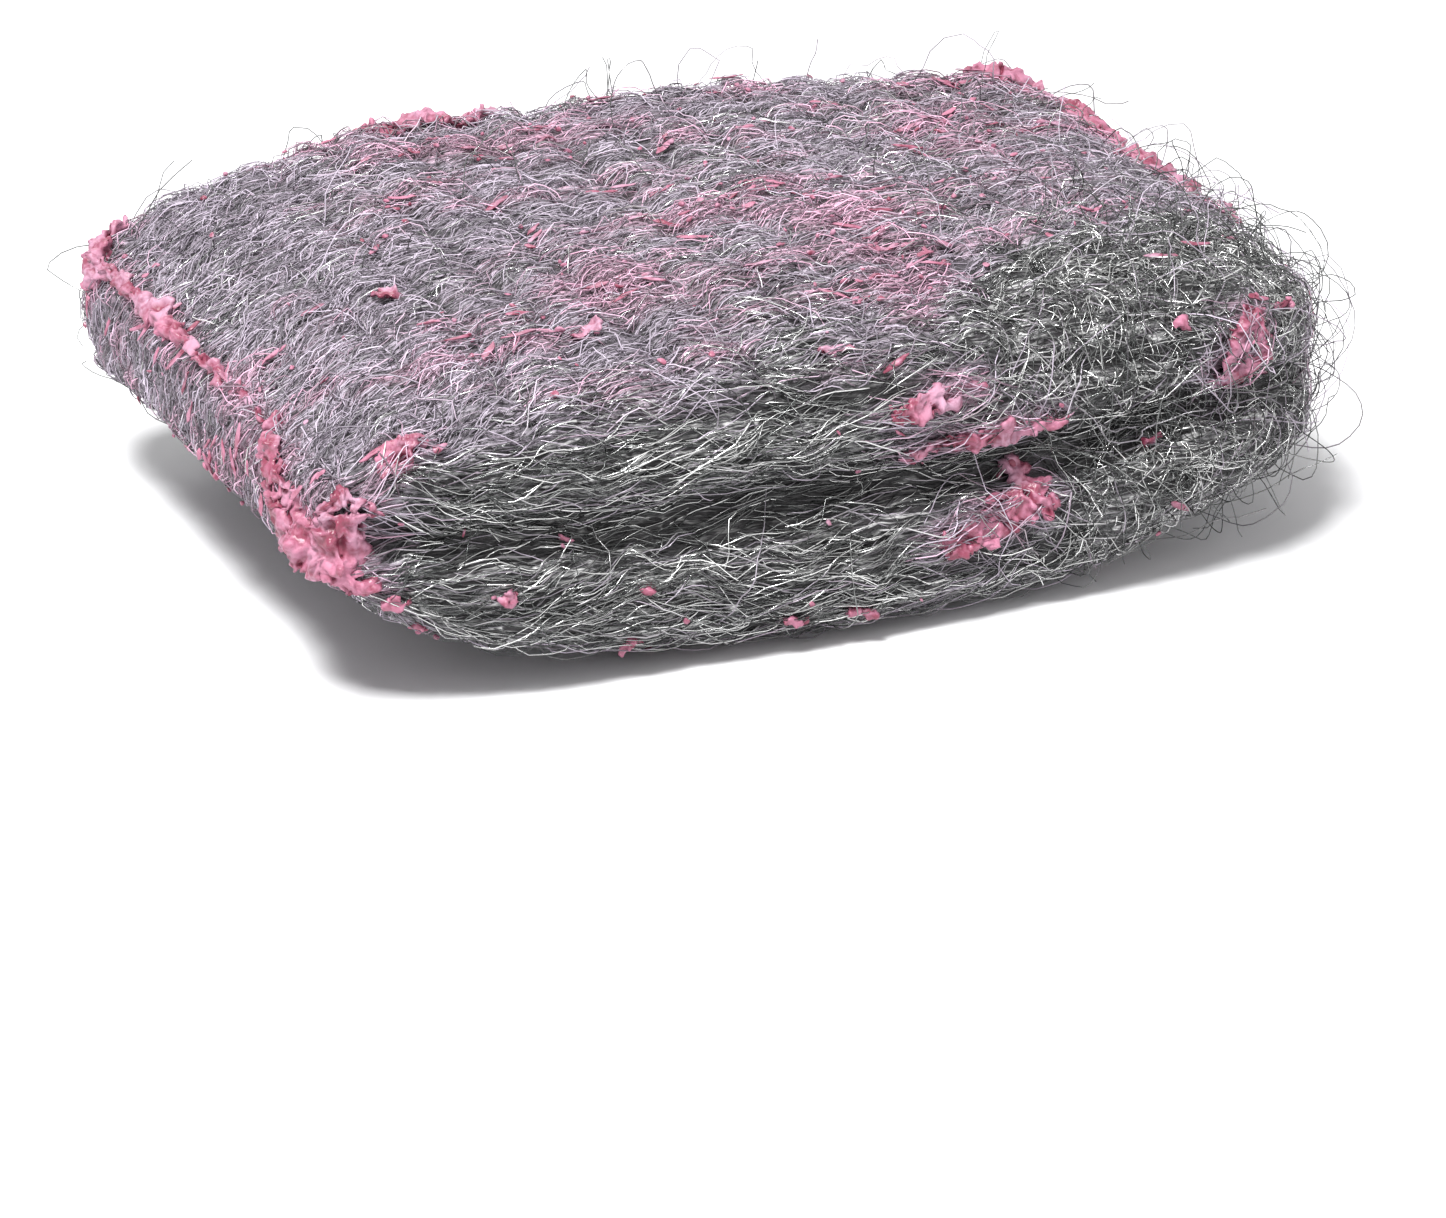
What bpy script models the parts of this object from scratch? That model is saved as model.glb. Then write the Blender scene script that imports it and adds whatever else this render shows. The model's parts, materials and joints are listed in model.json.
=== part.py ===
"""Soap-filled steel wool pad.

One web of steel wool is folded lengthwise into a stack of four layers, so that
the front shows two round folds with a crease between them and the back shows
one fold between two free edges. The stack is cut across and crimped at both
ends. Soap that was pressed in between the layers has dried as crusts on the cut
ends and as flakes and smears on the outside.

Metres, +Z up. X runs along the folds, from cut end to cut end. The front folds
face -Y. The origin is on the flat that the pad rests on, under the middle of
the whole.
"""

import math

import bmesh
import bpy
from mathutils import Matrix, Vector, noise
from mathutils.bvhtree import BVHTree

# Stack of wool
PAD_LENGTH = 0.0780
PAD_DEPTH = 0.0560
PAD_HEIGHT = 0.0230
LAYERS = 4
LAYER_GAP = 0.0005
BASE_SETTLE = 0.0010
FREE_EDGE_INSET = 0.0030
CUT_EDGE_ROUND = 0.0012

# Crimped ends. The left end is at -X, and both are higher at their corners
LEFT_END_HEIGHT = 0.0050
RIGHT_END_HEIGHT = 0.0065
LEFT_END_LIFT = 0.0022
RIGHT_END_LIFT = 0.0014
FRONT_LEFT_HEIGHT = 0.0075
FRONT_RIGHT_HEIGHT = 0.0160
BACK_LEFT_HEIGHT = 0.0072
BACK_RIGHT_HEIGHT = 0.0120
CORNER_RISE_POWER = 3.0
FRONT_CORNER_IN = 0.0065
BACK_CORNER_IN = 0.0058
BACK_RIGHT_LIFT = 0.0016

# How the pad thins towards its ends: a higher power starts later, and a lower
# root ends blunter. The underside of the left end slopes up longer than the rest
THINNING_POWER = 4.0
RIGHT_THINNING_ROOT = 0.72
LEFT_THINNING_ROOT = 0.85
LEFT_UNDERSIDE_POWER = 3.2
LEFT_UNDERSIDE_ROOT = 1.0

# The front corner at +X has sprung back and stands a little off the table
SPRUNG_BACK = 0.0046
SPRUNG_UP = 0.0040
SPRUNG_START = 0.20
SPRUNG_FULL = 0.85

# Fullness of the pad
FRONT_DROP = 0.0026
BACK_DROP = 0.0004
UNDERSIDE_RISE = 0.0014
DROP_POWER = 4.0
FOLD_SQUARENESS = 0.58
CORNER_POWER = 5.0
CORNER_ROOT = 0.5

# Arched rows that the crimping rollers leave across the web
ROW_COUNT = 16
ROW_HEIGHT = 0.0007
ROW_WANDER = 0.0016
ROW_WANDER_SPACING = 0.0140
ROW_FADE_POWER = 8.0

# Slow unevenness of a soft pad
UNEVEN_SPACING = 0.0210
UNEVEN_HEIGHT = 0.0012
UNEVEN_FADE_POWER = 4.0
NOISE_SEED = 11

# Dried soap. The gap to the wool keeps the two solids apart
SOAP_GAP = 0.0003
CRUST_VOXEL = 0.00105
CRUST_GRAIN = 0.0022
CRUST_ROUGHNESS = 0.0005
BEAD_SPACING = 0.0030
BEAD_LENGTH = 0.0045
BEAD_VARIATION = 0.4
LEFT_BEAD_WIDTH = 0.0026
LEFT_BEAD_HEIGHT = 0.0026
RIGHT_BEAD_WIDTH = 0.0040
RIGHT_BEAD_HEIGHT = 0.0034
SPIKE_HEIGHT = 0.0042
SPIKE_WIDTH = 0.0026
LUMP_SIZE = 0.0060
LUMP_THICKNESS = 0.0030
SMEAR_THICKNESS = 0.0006
SMEAR_CUT_DEPTH = 0.0040
SMEAR_SIDES = 14
SMEAR_RAGGEDNESS = 0.6
CORE_STANDS_OUT = 0.00035
CORE_CUTS = 15

# Segments of the sheet
SEGMENTS_IN_ROW = 3
OUTER_RUN_SEGMENTS = 7
INNER_RUN_SEGMENTS = 2
FOLD_SEGMENTS = 6

STEEL_COLOUR = (0.30, 0.29, 0.30, 1.0)
SOAP_COLOUR = (0.86, 0.34, 0.44, 1.0)

HALF_LENGTH = PAD_LENGTH / 2
HALF_DEPTH = PAD_DEPTH / 2
STACK_HEIGHT = PAD_HEIGHT + BASE_SETTLE
LAYER_PITCH = STACK_HEIGHT / LAYERS
WEB_THICKNESS = LAYER_PITCH - LAYER_GAP
FOLD_RADIUS = LAYER_PITCH / 2
FOLD_REACH = FOLD_RADIUS + WEB_THICKNESS / 2
MIDDLE_HEIGHT = STACK_HEIGHT / 2 - BASE_SETTLE


def clear_scene():
    """Start from nothing, whatever the file held."""
    for old in list(bpy.data.objects):
        bpy.data.objects.remove(old, do_unlink=True)


def new_collection(name):
    """A collection linked to the scene."""
    found = bpy.data.collections.new(name)
    bpy.context.scene.collection.children.link(found)
    return found


def new_material(name, colour, metallic, roughness):
    """A plain Principled BSDF."""
    material = bpy.data.materials.new(name)
    material.use_nodes = True
    shader = material.node_tree.nodes["Principled BSDF"]
    shader.inputs["Base Color"].default_value = colour
    shader.inputs["Metallic"].default_value = metallic
    shader.inputs["Roughness"].default_value = roughness
    material.diffuse_color = colour
    return material


def fold_path():
    """Points (y, z) down the middle of the web: layer, fold, layer, and so on.

    The first and last layers end free at the back. Odd folds are at the front
    and even folds at the back.
    """
    front = -(HALF_DEPTH - FOLD_REACH)
    back = HALF_DEPTH - FOLD_REACH
    free_edge = HALF_DEPTH - FREE_EDGE_INSET
    points = []
    for layer in range(LAYERS):
        height = LAYER_PITCH * (layer + 0.5) - BASE_SETTLE
        towards_front = layer % 2 == 0
        start, end = (back, front) if towards_front else (front, back)
        segments = INNER_RUN_SEGMENTS
        if layer == 0:
            start = free_edge
            segments = OUTER_RUN_SEGMENTS
        if layer == LAYERS - 1:
            end = free_edge
            segments = OUTER_RUN_SEGMENTS
        for i in range(segments + 1):
            points.append((start + (end - start) * i / segments, height))
        if layer == LAYERS - 1:
            break
        outwards = -1 if towards_front else 1
        for i in range(1, FOLD_SEGMENTS):
            turn = math.pi * i / FOLD_SEGMENTS
            y = end + outwards * FOLD_RADIUS * math.sin(turn)
            z = height + FOLD_RADIUS * (1 - math.cos(turn))
            points.append((y, z))
    return points


def fade(share, power, root):
    """1 in the middle, falling to 0 where share reaches 1."""
    return max(0.0, 1 - abs(share) ** power) ** root


def squarer(y):
    """Fills out the folds, which press on each other and lose their round."""
    start = HALF_DEPTH - FOLD_REACH
    if abs(y) <= start:
        return y
    share = min(1.0, (abs(y) - start) / FOLD_REACH)
    return math.copysign(start + FOLD_REACH * share**FOLD_SQUARENESS, y)


def end_height(x, across):
    """Height left at the cut end, from its middle to the corner on this side."""
    if x > 0:
        middle = RIGHT_END_HEIGHT
        corner = FRONT_RIGHT_HEIGHT if across < 0 else BACK_RIGHT_HEIGHT
    else:
        middle = LEFT_END_HEIGHT
        corner = FRONT_LEFT_HEIGHT if across < 0 else BACK_LEFT_HEIGHT
    return middle + (corner - middle) * abs(across) ** CORNER_RISE_POWER


def thinning(along, level):
    """1 in the middle of the pad, falling to 0 at its cut ends. level runs from -1
    on the underside to 1 on the top."""
    if along > 0:
        return fade(along, THINNING_POWER, RIGHT_THINNING_ROOT)
    upper = fade(along, THINNING_POWER, LEFT_THINNING_ROOT)
    lower = fade(along, LEFT_UNDERSIDE_POWER, LEFT_UNDERSIDE_ROOT)
    return lower + (upper - lower) * (1 + level) / 2


def end_depth(across):
    """How much of the depth is left at the cut end, as a share."""
    corner_in = FRONT_CORNER_IN if across < 0 else BACK_CORNER_IN
    return 1 - corner_in / HALF_DEPTH


def near_sprung_corner(along, across):
    """0 over most of the pad, rising to 1 at the front corner at +X."""
    share = min(1.0, max(0.0, (along - SPRUNG_START) / (SPRUNG_FULL - SPRUNG_START)))
    return share * share * (3 - 2 * share) * max(0.0, -across) ** 2


def crimp_row(x):
    """Height of the arched rows at x: 0 in their hollows, and up to the row height."""
    turns = ROW_COUNT * (x + HALF_LENGTH) / PAD_LENGTH
    return ROW_HEIGHT * abs(math.sin(math.pi * turns))


def row_wander(point):
    """How far a row strays along X here."""
    place = Vector((point.x, point.y, 0.0)) / ROW_WANDER_SPACING
    return ROW_WANDER * noise.noise(place)


def shaped(point):
    """Moves a point of the straight folded stack to where the crimped pad has it."""
    along = point.x / HALF_LENGTH
    y = squarer(point.y)
    across = y / HALF_DEPTH
    height = point.z - MIDDLE_HEIGHT
    level = height / (STACK_HEIGHT / 2)

    if height < 0:
        drop = UNDERSIDE_RISE
    else:
        drop = BACK_DROP if y > 0 else FRONT_DROP
    crown = 1 - drop / (STACK_HEIGHT / 2) * abs(across) ** DROP_POWER
    end_share = end_height(point.x, across) / STACK_HEIGHT
    crimp = end_share + (1 - end_share) * thinning(along, level)
    depth_share = end_depth(across)
    plan = depth_share + (1 - depth_share) * fade(along, CORNER_POWER, CORNER_ROOT)
    sprung = near_sprung_corner(along, across)

    row_strength = fade(along, ROW_FADE_POWER, 1.0)
    row = (crimp_row(point.x) - ROW_HEIGHT) * row_strength
    x = point.x - SPRUNG_BACK * sprung + row_wander(point) * row_strength
    y = y * plan + row * across / 2
    z = MIDDLE_HEIGHT + height * crown * crimp + row * max(0.0, level)
    lift = LEFT_END_LIFT
    if along > 0:
        lift = RIGHT_END_LIFT + BACK_RIGHT_LIFT * max(0.0, across) ** CORNER_RISE_POWER
    z += lift * (1 - crimp)
    z += SPRUNG_UP * sprung * (1 - level) / 2

    uneven = noise.noise_vector(Vector((x, y, 0.0)) / UNEVEN_SPACING)
    strength = UNEVEN_HEIGHT * fade(along, UNEVEN_FADE_POWER, 1.0)
    y += uneven.y * strength
    z += uneven.z * strength * (1 + level) / 2
    return Vector((x, y, max(z, 0.0)))


def folded_web(collection, material):
    """The pad's one solid: a sheet bent along the fold path, thickened and crimped."""
    path = fold_path()
    bpy.ops.mesh.primitive_grid_add(
        x_subdivisions=ROW_COUNT * SEGMENTS_IN_ROW, y_subdivisions=len(path) - 1, size=1.0
    )
    sheet = bpy.context.active_object
    for vertex in sheet.data.vertices:
        y, z = path[round((vertex.co.y + 0.5) * (len(path) - 1))]
        vertex.co = (vertex.co.x * PAD_LENGTH, y, z)

    web = sheet.modifiers.new("web", "SOLIDIFY")
    web.thickness = WEB_THICKNESS
    web.offset = 0
    web.use_even_offset = True
    rounding = sheet.modifiers.new("cut edges", "BEVEL")
    rounding.width = CUT_EDGE_ROUND
    rounding.segments = 1
    rounding.limit_method = "ANGLE"
    rounding.angle_limit = math.radians(60)

    pad = as_mesh(sheet, "steel_wool_pad", collection, material)
    for vertex in pad.data.vertices:
        vertex.co = shaped(vertex.co)
    face_out(pad.data)
    pad.data.shade_smooth()
    pad.data.set_sharp_from_angle(angle=math.radians(50))
    return pad


def new_object(name, shape, collection):
    """An object of a bmesh, which is used up."""
    mesh = bpy.data.meshes.new(name)
    shape.to_mesh(mesh)
    shape.free()
    made = bpy.data.objects.new(name, mesh)
    collection.objects.link(made)
    return made


def as_mesh(source, name, collection, material=None):
    """A plain mesh object of what source looks like, in source's place."""
    graph = bpy.context.evaluated_depsgraph_get()
    mesh = bpy.data.meshes.new_from_object(source.evaluated_get(graph))
    made = bpy.data.objects.new(name, mesh)
    made.matrix_world = source.matrix_world
    collection.objects.link(made)
    bpy.data.objects.remove(source, do_unlink=True)
    if material:
        mesh.materials.clear()
        mesh.materials.append(material)
    return made


def face_out(mesh):
    """Points every face outwards."""
    shape = bmesh.new()
    shape.from_mesh(mesh)
    bmesh.ops.recalc_face_normals(shape, faces=shape.faces)
    shape.to_mesh(mesh)
    shape.free()


def core_block():
    """A block in the stack, up to the middle of its outer layers and a little out of
    its cut ends. It closes the gaps between the layers in a cutter."""
    size = (
        PAD_LENGTH + 2 * CORE_STANDS_OUT,
        2 * (HALF_DEPTH - FOLD_REACH + 4 * LAYER_GAP),
        LAYER_PITCH * (LAYERS - 1),
    )
    shape = bmesh.new()
    stretch = Matrix.Diagonal((*size, 1.0))
    bmesh.ops.create_cube(shape, matrix=Matrix.Translation((0, 0, MIDDLE_HEIGHT)) @ stretch)
    bmesh.ops.subdivide_edges(
        shape, edges=shape.edges[:], cuts=CORE_CUTS, use_grid_fill=True
    )
    for vertex in shape.verts:
        vertex.co = shaped(vertex.co)
    return shape


def grown_pad(pad, name, reach, collection):
    """A cutter: the pad without its inner gaps, and its outside moved out by reach."""
    shape = core_block()
    shape.from_mesh(pad.data)
    cutter = new_object(name, shape, collection)
    first = len(cutter.data.vertices) - len(pad.data.vertices)
    for vertex in pad.data.vertices:
        cutter.data.vertices[first + vertex.index].co += vertex.normal * reach
    cutter.hide_render = True
    cutter.display_type = "WIRE"
    return cutter


class PadSurface:
    """Finds places on the outside of the pad."""

    def __init__(self, pad):
        corners = [vertex.co for vertex in pad.data.vertices]
        faces = [tuple(polygon.vertices) for polygon in pad.data.polygons]
        self.tree = BVHTree.FromPolygons(corners, faces)

    def nearest(self, along, across, up):
        """The place and normal nearest a guide point, given in shares of the pad."""
        guide = Vector((along * HALF_LENGTH, across * HALF_DEPTH, up * PAD_HEIGHT))
        place, normal, _, _ = self.tree.find_nearest(guide)
        return place, normal

    def lip(self, side, across):
        """The upper edge of a cut end. side is -1 or 1."""
        inside = side * (HALF_LENGTH - CUT_EDGE_ROUND)
        start = Vector((inside, across * HALF_DEPTH, 2 * PAD_HEIGHT))
        place, _, _, _ = self.tree.ray_cast(start, Vector((0, 0, -1)))
        return place


def add_lump(shape, place, normal, size):
    """One lump. size holds its two widths along the surface and its height."""
    upright = normal.to_track_quat("Z", "X").to_matrix().to_4x4()
    matrix = Matrix.Translation(place) @ upright @ Matrix.Diagonal((*size, 1.0))
    bmesh.ops.create_icosphere(shape, subdivisions=2, radius=0.5, matrix=matrix)


def crust(name, lumps, cutter, collection, material):
    """Lumps run together into one body, roughened, and cut back to the wool."""
    shape = bmesh.new()
    for lump in lumps:
        add_lump(shape, *lump)
    for vertex in shape.verts:
        vertex.co += noise.noise_vector(vertex.co / CRUST_GRAIN) * CRUST_ROUGHNESS
    uncut = new_object(name + "_uncut", shape, collection)
    joined = uncut.modifiers.new("run together", "REMESH")
    joined.mode = "VOXEL"
    joined.voxel_size = CRUST_VOXEL
    return seat(uncut, name, cutter, collection, material)


def add_boolean(solid, operation, other):
    """Joins, cuts or crosses a solid with another one."""
    step = solid.modifiers.new(operation.lower(), "BOOLEAN")
    step.operation = operation
    step.object = other
    step.use_self = True


def seat(uncut, name, cutter, collection, material):
    """Cuts a soap solid back to the wool, and keeps its main body."""
    add_boolean(uncut, "DIFFERENCE", cutter)
    seated = as_mesh(uncut, name, collection, material)
    keep_largest_body(seated.data)
    seated.data.shade_smooth()
    seated.data.set_sharp_from_angle(angle=math.radians(60))
    return seated


def keep_largest_body(mesh):
    """Drops the crumbs that the cut leaves beside the main lump."""
    shape = bmesh.new()
    shape.from_mesh(mesh)
    unseen = set(shape.verts)
    bodies = []
    while unseen:
        body, found = set(), [unseen.pop()]
        while found:
            vertex = found.pop()
            body.add(vertex)
            near = {edge.other_vert(vertex) for edge in vertex.link_edges} & unseen
            unseen -= near
            found.extend(near)
        bodies.append(body)
    bodies.sort(key=len)
    crumbs = [vertex for body in bodies[:-1] for vertex in body]
    bmesh.ops.delete(shape, geom=crumbs, context="VERTS")
    shape.to_mesh(mesh)
    shape.free()


def beads_on_lip(surface, side, start, end, width, height):
    """Soap squeezed out along the upper lip of a cut end, bead by bead."""
    count = math.ceil(abs(end - start) * HALF_DEPTH / BEAD_SPACING) + 1
    lumps = []
    for i in range(count):
        across = start + (end - start) * i / (count - 1)
        swell = 1 + BEAD_VARIATION * noise.noise(Vector((9.7 * side, 4.3 * i, 0.0)))
        widths = (width * swell, BEAD_LENGTH, height * swell)
        lumps.append((surface.lip(side, across), Vector((side, 0, 1)).normalized(), widths))
    return lumps


def left_crust(surface):
    """Thin soap along the lip at -X, with a strip up the back corner."""
    lumps = beads_on_lip(surface, -1, -0.46, 0.72, LEFT_BEAD_WIDTH, LEFT_BEAD_HEIGHT)
    for guide in ((-0.98, 0.72, 0.68), (-0.95, 0.79, 0.76), (-0.92, 0.86, 0.84)):
        place, normal = surface.nearest(*guide)
        lumps.append((place, normal, (BEAD_SPACING, BEAD_SPACING, LEFT_BEAD_HEIGHT)))
    return lumps


def right_crust(surface):
    """Beads along the lip at +X, drawn up into two spikes at the back corner."""
    lumps = beads_on_lip(surface, 1, -0.12, 0.84, RIGHT_BEAD_WIDTH, RIGHT_BEAD_HEIGHT)
    lean = Vector((-0.1, 0.3, 1)).normalized()
    for along, across, share in ((0.95, 0.88, 0.5), (0.91, 0.92, 0.8), (0.86, 0.94, 1.0)):
        foot, _ = surface.nearest(along, across, 0.85)
        height = share * SPIKE_HEIGHT
        middle = foot + lean * height * 0.3
        lumps.append((middle, lean, (SPIKE_WIDTH, SPIKE_WIDTH, height)))
    return lumps


def corner_lump(surface):
    """The largest lump, from the lip at -X round the front corner. Each of its
    places is a guide point in shares of the pad, and a share of the lump size."""
    places = [
        (-1.04, -0.56, 0.66, 0.80),
        (-1.04, -0.66, 0.56, 1.00),
        (-1.04, -0.76, 0.50, 1.05),
        (-1.02, -0.86, 0.52, 1.00),
        (-0.98, -0.96, 0.58, 0.85),
        (-0.97, -0.98, 0.46, 0.75),
    ]
    lumps = []
    for along, across, up, share in places:
        place, normal = surface.nearest(along, across, up)
        widths = (LUMP_SIZE * share, LUMP_SIZE * share, LUMP_THICKNESS * share)
        lumps.append((place, normal, widths))
    return lumps


def smear(name, surface, guide, size, turn, skin, cutter, collection, material):
    """A thin flake that follows the wool: the part of the pad's grown skin within a
    ragged outline. size is the outline's length and width, and turn swings its
    length round from the folds' own way."""
    place, normal = surface.nearest(*guide)
    fold_way = Vector((1, 0, 0))
    fold_way = (fold_way - normal * fold_way.dot(normal)).normalized()
    length_way = Matrix.Rotation(turn, 3, normal) @ fold_way
    width_way = normal.cross(length_way)
    upright = Matrix((length_way, width_way, normal)).transposed().to_4x4()

    shape = bmesh.new()
    bmesh.ops.create_cone(
        shape, cap_ends=True, segments=SMEAR_SIDES, radius1=0.5, radius2=0.5, depth=1.0
    )
    for vertex in shape.verts:
        ragged = vertex.co.xy.normalized().to_3d()
        ragged.z = place.x / CRUST_GRAIN
        reach = 1 + SMEAR_RAGGEDNESS * noise.noise(ragged)
        vertex.co *= Vector((size[0] * reach, size[1] * reach, SMEAR_CUT_DEPTH))
    shape.transform(Matrix.Translation(place) @ upright)
    uncut = new_object(name + "_uncut", shape, collection)
    add_boolean(uncut, "INTERSECT", skin)
    return seat(uncut, name, cutter, collection, material)


def stand_on_origin(collection):
    """Moves everything so that the origin is under the middle of the whole box."""
    corners = [vertex.co for part in collection.objects for vertex in part.data.vertices]
    middle = Vector()
    for axis in (0, 1):
        reach = [corner[axis] for corner in corners]
        middle[axis] = (min(reach) + max(reach)) / 2
    for part in collection.objects:
        part.data.transform(Matrix.Translation(-middle))


def build():
    """Models the pad and the soap on it."""
    clear_scene()
    noise.seed_set(NOISE_SEED)
    parts = new_collection("Steel wool pad")
    cutters = new_collection("Cutters")
    steel = new_material("steel wool", STEEL_COLOUR, metallic=0.8, roughness=0.45)
    soap = new_material("dried soap", SOAP_COLOUR, metallic=0.0, roughness=0.55)

    pad = folded_web(parts, steel)
    surface = PadSurface(pad)
    cutter = grown_pad(pad, "soap_gap_cutter", SOAP_GAP, cutters)
    skin = grown_pad(pad, "smear_skin_cutter", SOAP_GAP + SMEAR_THICKNESS, cutters)
    crust("soap_crust_left_end", left_crust(surface), cutter, parts, soap)
    crust("soap_crust_right_end", right_crust(surface), cutter, parts, soap)
    crust("soap_lump_front_corner", corner_lump(surface), cutter, parts, soap)

    # Name, guide point in shares of the pad, length and width, turn in degrees
    smears = [
        ("soap_flake_upper_fold", (0.07, -1.05, 0.74), (0.0064, 0.0022), 11),
        ("soap_streak_in_crease", (0.17, -1.02, 0.56), (0.0112, 0.0014), 5),
        ("soap_smear_lower_fold", (0.22, -1.05, 0.34), (0.0094, 0.0030), 14),
        ("soap_smear_sprung_corner", (0.69, -1.05, 0.71), (0.0066, 0.0040), 64),
        ("soap_smear_back_edge", (-0.26, 1.05, 1.15), (0.0110, 0.0034), 0),
        ("soap_patch_front_shoulder", (-0.87, -0.91, 0.80), (0.0036, 0.0022), 20),
    ]
    for name, guide, size, turn in smears:
        turn = math.radians(turn)
        smear(name, surface, guide, size, turn, skin, cutter, parts, soap)
    stand_on_origin(parts)


build()
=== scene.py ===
"""Looks of a soap-filled steel wool pad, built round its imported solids.

The wool is a matted skin under thousands of crimped strands, with loose wires that
stand off it. The soap is crusts, flakes, crumbs and the film that coats strands.
Metres, +Z up. X runs along the folds, and the front folds face -Y.
"""

import json
import math

import bmesh
import bpy
import numpy as np
from bpy.props import FloatProperty, FloatVectorProperty, PointerProperty
from mathutils import Euler, Matrix, Vector, kdtree, noise

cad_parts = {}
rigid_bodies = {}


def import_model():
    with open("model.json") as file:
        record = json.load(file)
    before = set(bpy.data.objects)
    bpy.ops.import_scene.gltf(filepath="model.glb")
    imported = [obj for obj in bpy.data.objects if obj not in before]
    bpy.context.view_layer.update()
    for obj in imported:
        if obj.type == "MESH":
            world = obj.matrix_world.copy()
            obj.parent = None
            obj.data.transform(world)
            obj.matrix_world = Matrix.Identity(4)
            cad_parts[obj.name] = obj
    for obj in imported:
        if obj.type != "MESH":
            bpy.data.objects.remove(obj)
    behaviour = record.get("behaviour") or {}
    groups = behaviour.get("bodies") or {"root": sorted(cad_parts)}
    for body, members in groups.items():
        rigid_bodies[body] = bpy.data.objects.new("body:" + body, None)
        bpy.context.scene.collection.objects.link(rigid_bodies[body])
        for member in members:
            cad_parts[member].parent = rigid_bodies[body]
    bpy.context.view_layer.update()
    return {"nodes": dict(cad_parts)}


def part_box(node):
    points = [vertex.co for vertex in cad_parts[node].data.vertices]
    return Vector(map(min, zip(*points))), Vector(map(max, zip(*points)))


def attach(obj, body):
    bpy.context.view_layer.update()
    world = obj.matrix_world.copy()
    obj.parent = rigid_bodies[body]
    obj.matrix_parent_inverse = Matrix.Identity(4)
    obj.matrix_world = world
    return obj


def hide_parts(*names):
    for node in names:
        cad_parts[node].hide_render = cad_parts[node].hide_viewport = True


bl_info = {
    "name": "Steel Wool Pad",
    "version": (1, 0, 0),
    "blender": (4, 5, 0),
    "location": "3D View > Sidebar > Wool Pad",
    "description": "Builds a soap-filled steel wool pad round its packed solids",
    "category": "Add Mesh",
}

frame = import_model()
PAD_LOW, PAD_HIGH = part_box("steel_wool_pad")
PAD_MIDDLE = (PAD_LOW + PAD_HIGH) / 2
PAD_HALF = (PAD_HIGH - PAD_LOW) / 2
SOAP_NODES = [node for node in sorted(frame["nodes"]) if node.startswith("soap_")]
THICK_SOAP = ("soap_crust", "soap_lump")
THIN_NODES = [node for node in SOAP_NODES if not node.startswith(THICK_SOAP)]

MM = 0.001
PER_MM2 = 1.0e6
BODY = "root"
SKIN = "wool_body"
SEED = 7
COLOUR = {"subtype": "COLOR", "size": 4}

# Skin: rounds of smoothing that hollows are measured from, and how far it rises
RELIEF_ROUNDS = 20
TUFT_RISE, HOLLOW_RISE, MATTED_RISE = 0.22 * MM, -0.25 * MM, 0.30 * MM
SKIN_OVER_FLOOR = 0.1 * MM

# Film: the line on the top between coated and bare wool, and how ragged it is
BARE_LINE, BARE_SLOPE, BARE_FROM_X = -26.0 * MM, 0.52, -1.0 * MM
RAGGED_WIDE, RAGGED_FINE = 5 * MM, 2.5 * MM

# Strands: scales of the noise that bends them and shifts that keep them apart in it,
# shares of the usual thickness, and how their ends dip under the skin
OWN_BENDS, SHARED_BENDS, LOOSE_BENDS, CRUMB_BENDS = 380.0, 300.0, 190.0, 2100.0
OWN_SHIFT, LOOSE_SHIFT = (0.013, 0.017, 0.011), (0.9, 1.3, 1.1)
THINNEST, THICKEST = 0.7, 1.35
TUCKED, ARCH_STEEPNESS = -0.3 * MM, 5.5
OVER_SOAP, CROSSING_FROM = 0.7 * MM, 0.4
FREE_END_FROM = 0.68

# Soap: the gaps in its crusts, and how far each solid draws back for its crumbs, in mm
BREAK_SPACING, BREAK_DEPTH = 3.0 * MM, 2.2 * MM
DRAWN_BACK = {
    "soap_crust_left_end": 0.90,
    "soap_crust_right_end": 0.15,
    "soap_lump_front_corner": 0.40,
    "soap_smear_sprung_corner": 0.20,
}
LEAST_DRAWN_BACK = 0.05
CRUMBS_PER_MM2 = 1.5
SOAP_OVER_FLOOR = 0.05 * MM

# Small flakes: the x, y and z that each lies nearest to, and its length, in mm
FLAKES = (
    (-22.2, -25.0, 10.3, 1.1),
    (-26.7, -26.4, 7.5, 2.0),
    (-17.2, -26.6, 6.4, 1.1),
    (-18.0, -26.0, 2.0, 1.8),
    (-6.5, -26.3, 2.7, 1.4),
    (-2.1, -26.4, 2.7, 1.2),
    (21.9, -26.0, 18.6, 1.8),
    (-17.1, -17.5, 21.1, 2.6),
    (-3.8, -24.9, 19.9, 1.6),
    (-26.1, -5.0, 20.7, 1.8),
    (19.9, -25.8, 10.3, 1.0),
    (30.5, -24.0, 18.0, 1.6),
    (10.0, -24.7, 9.8, 2.4),
    (-33.6, -25.0, 8.0, 1.6),
    (-32.5, -24.5, 5.0, 1.3),
)
CRUMBS_PER_MM_OF_FLAKE = 9

# Factors that turn one random tone into further draws
COATED_DRAW, SHADE_DRAW, HELD_DRAW = 7.31, 13.7, 5.7

FLOOR_RADIUS = 0.7


# Settings


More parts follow.
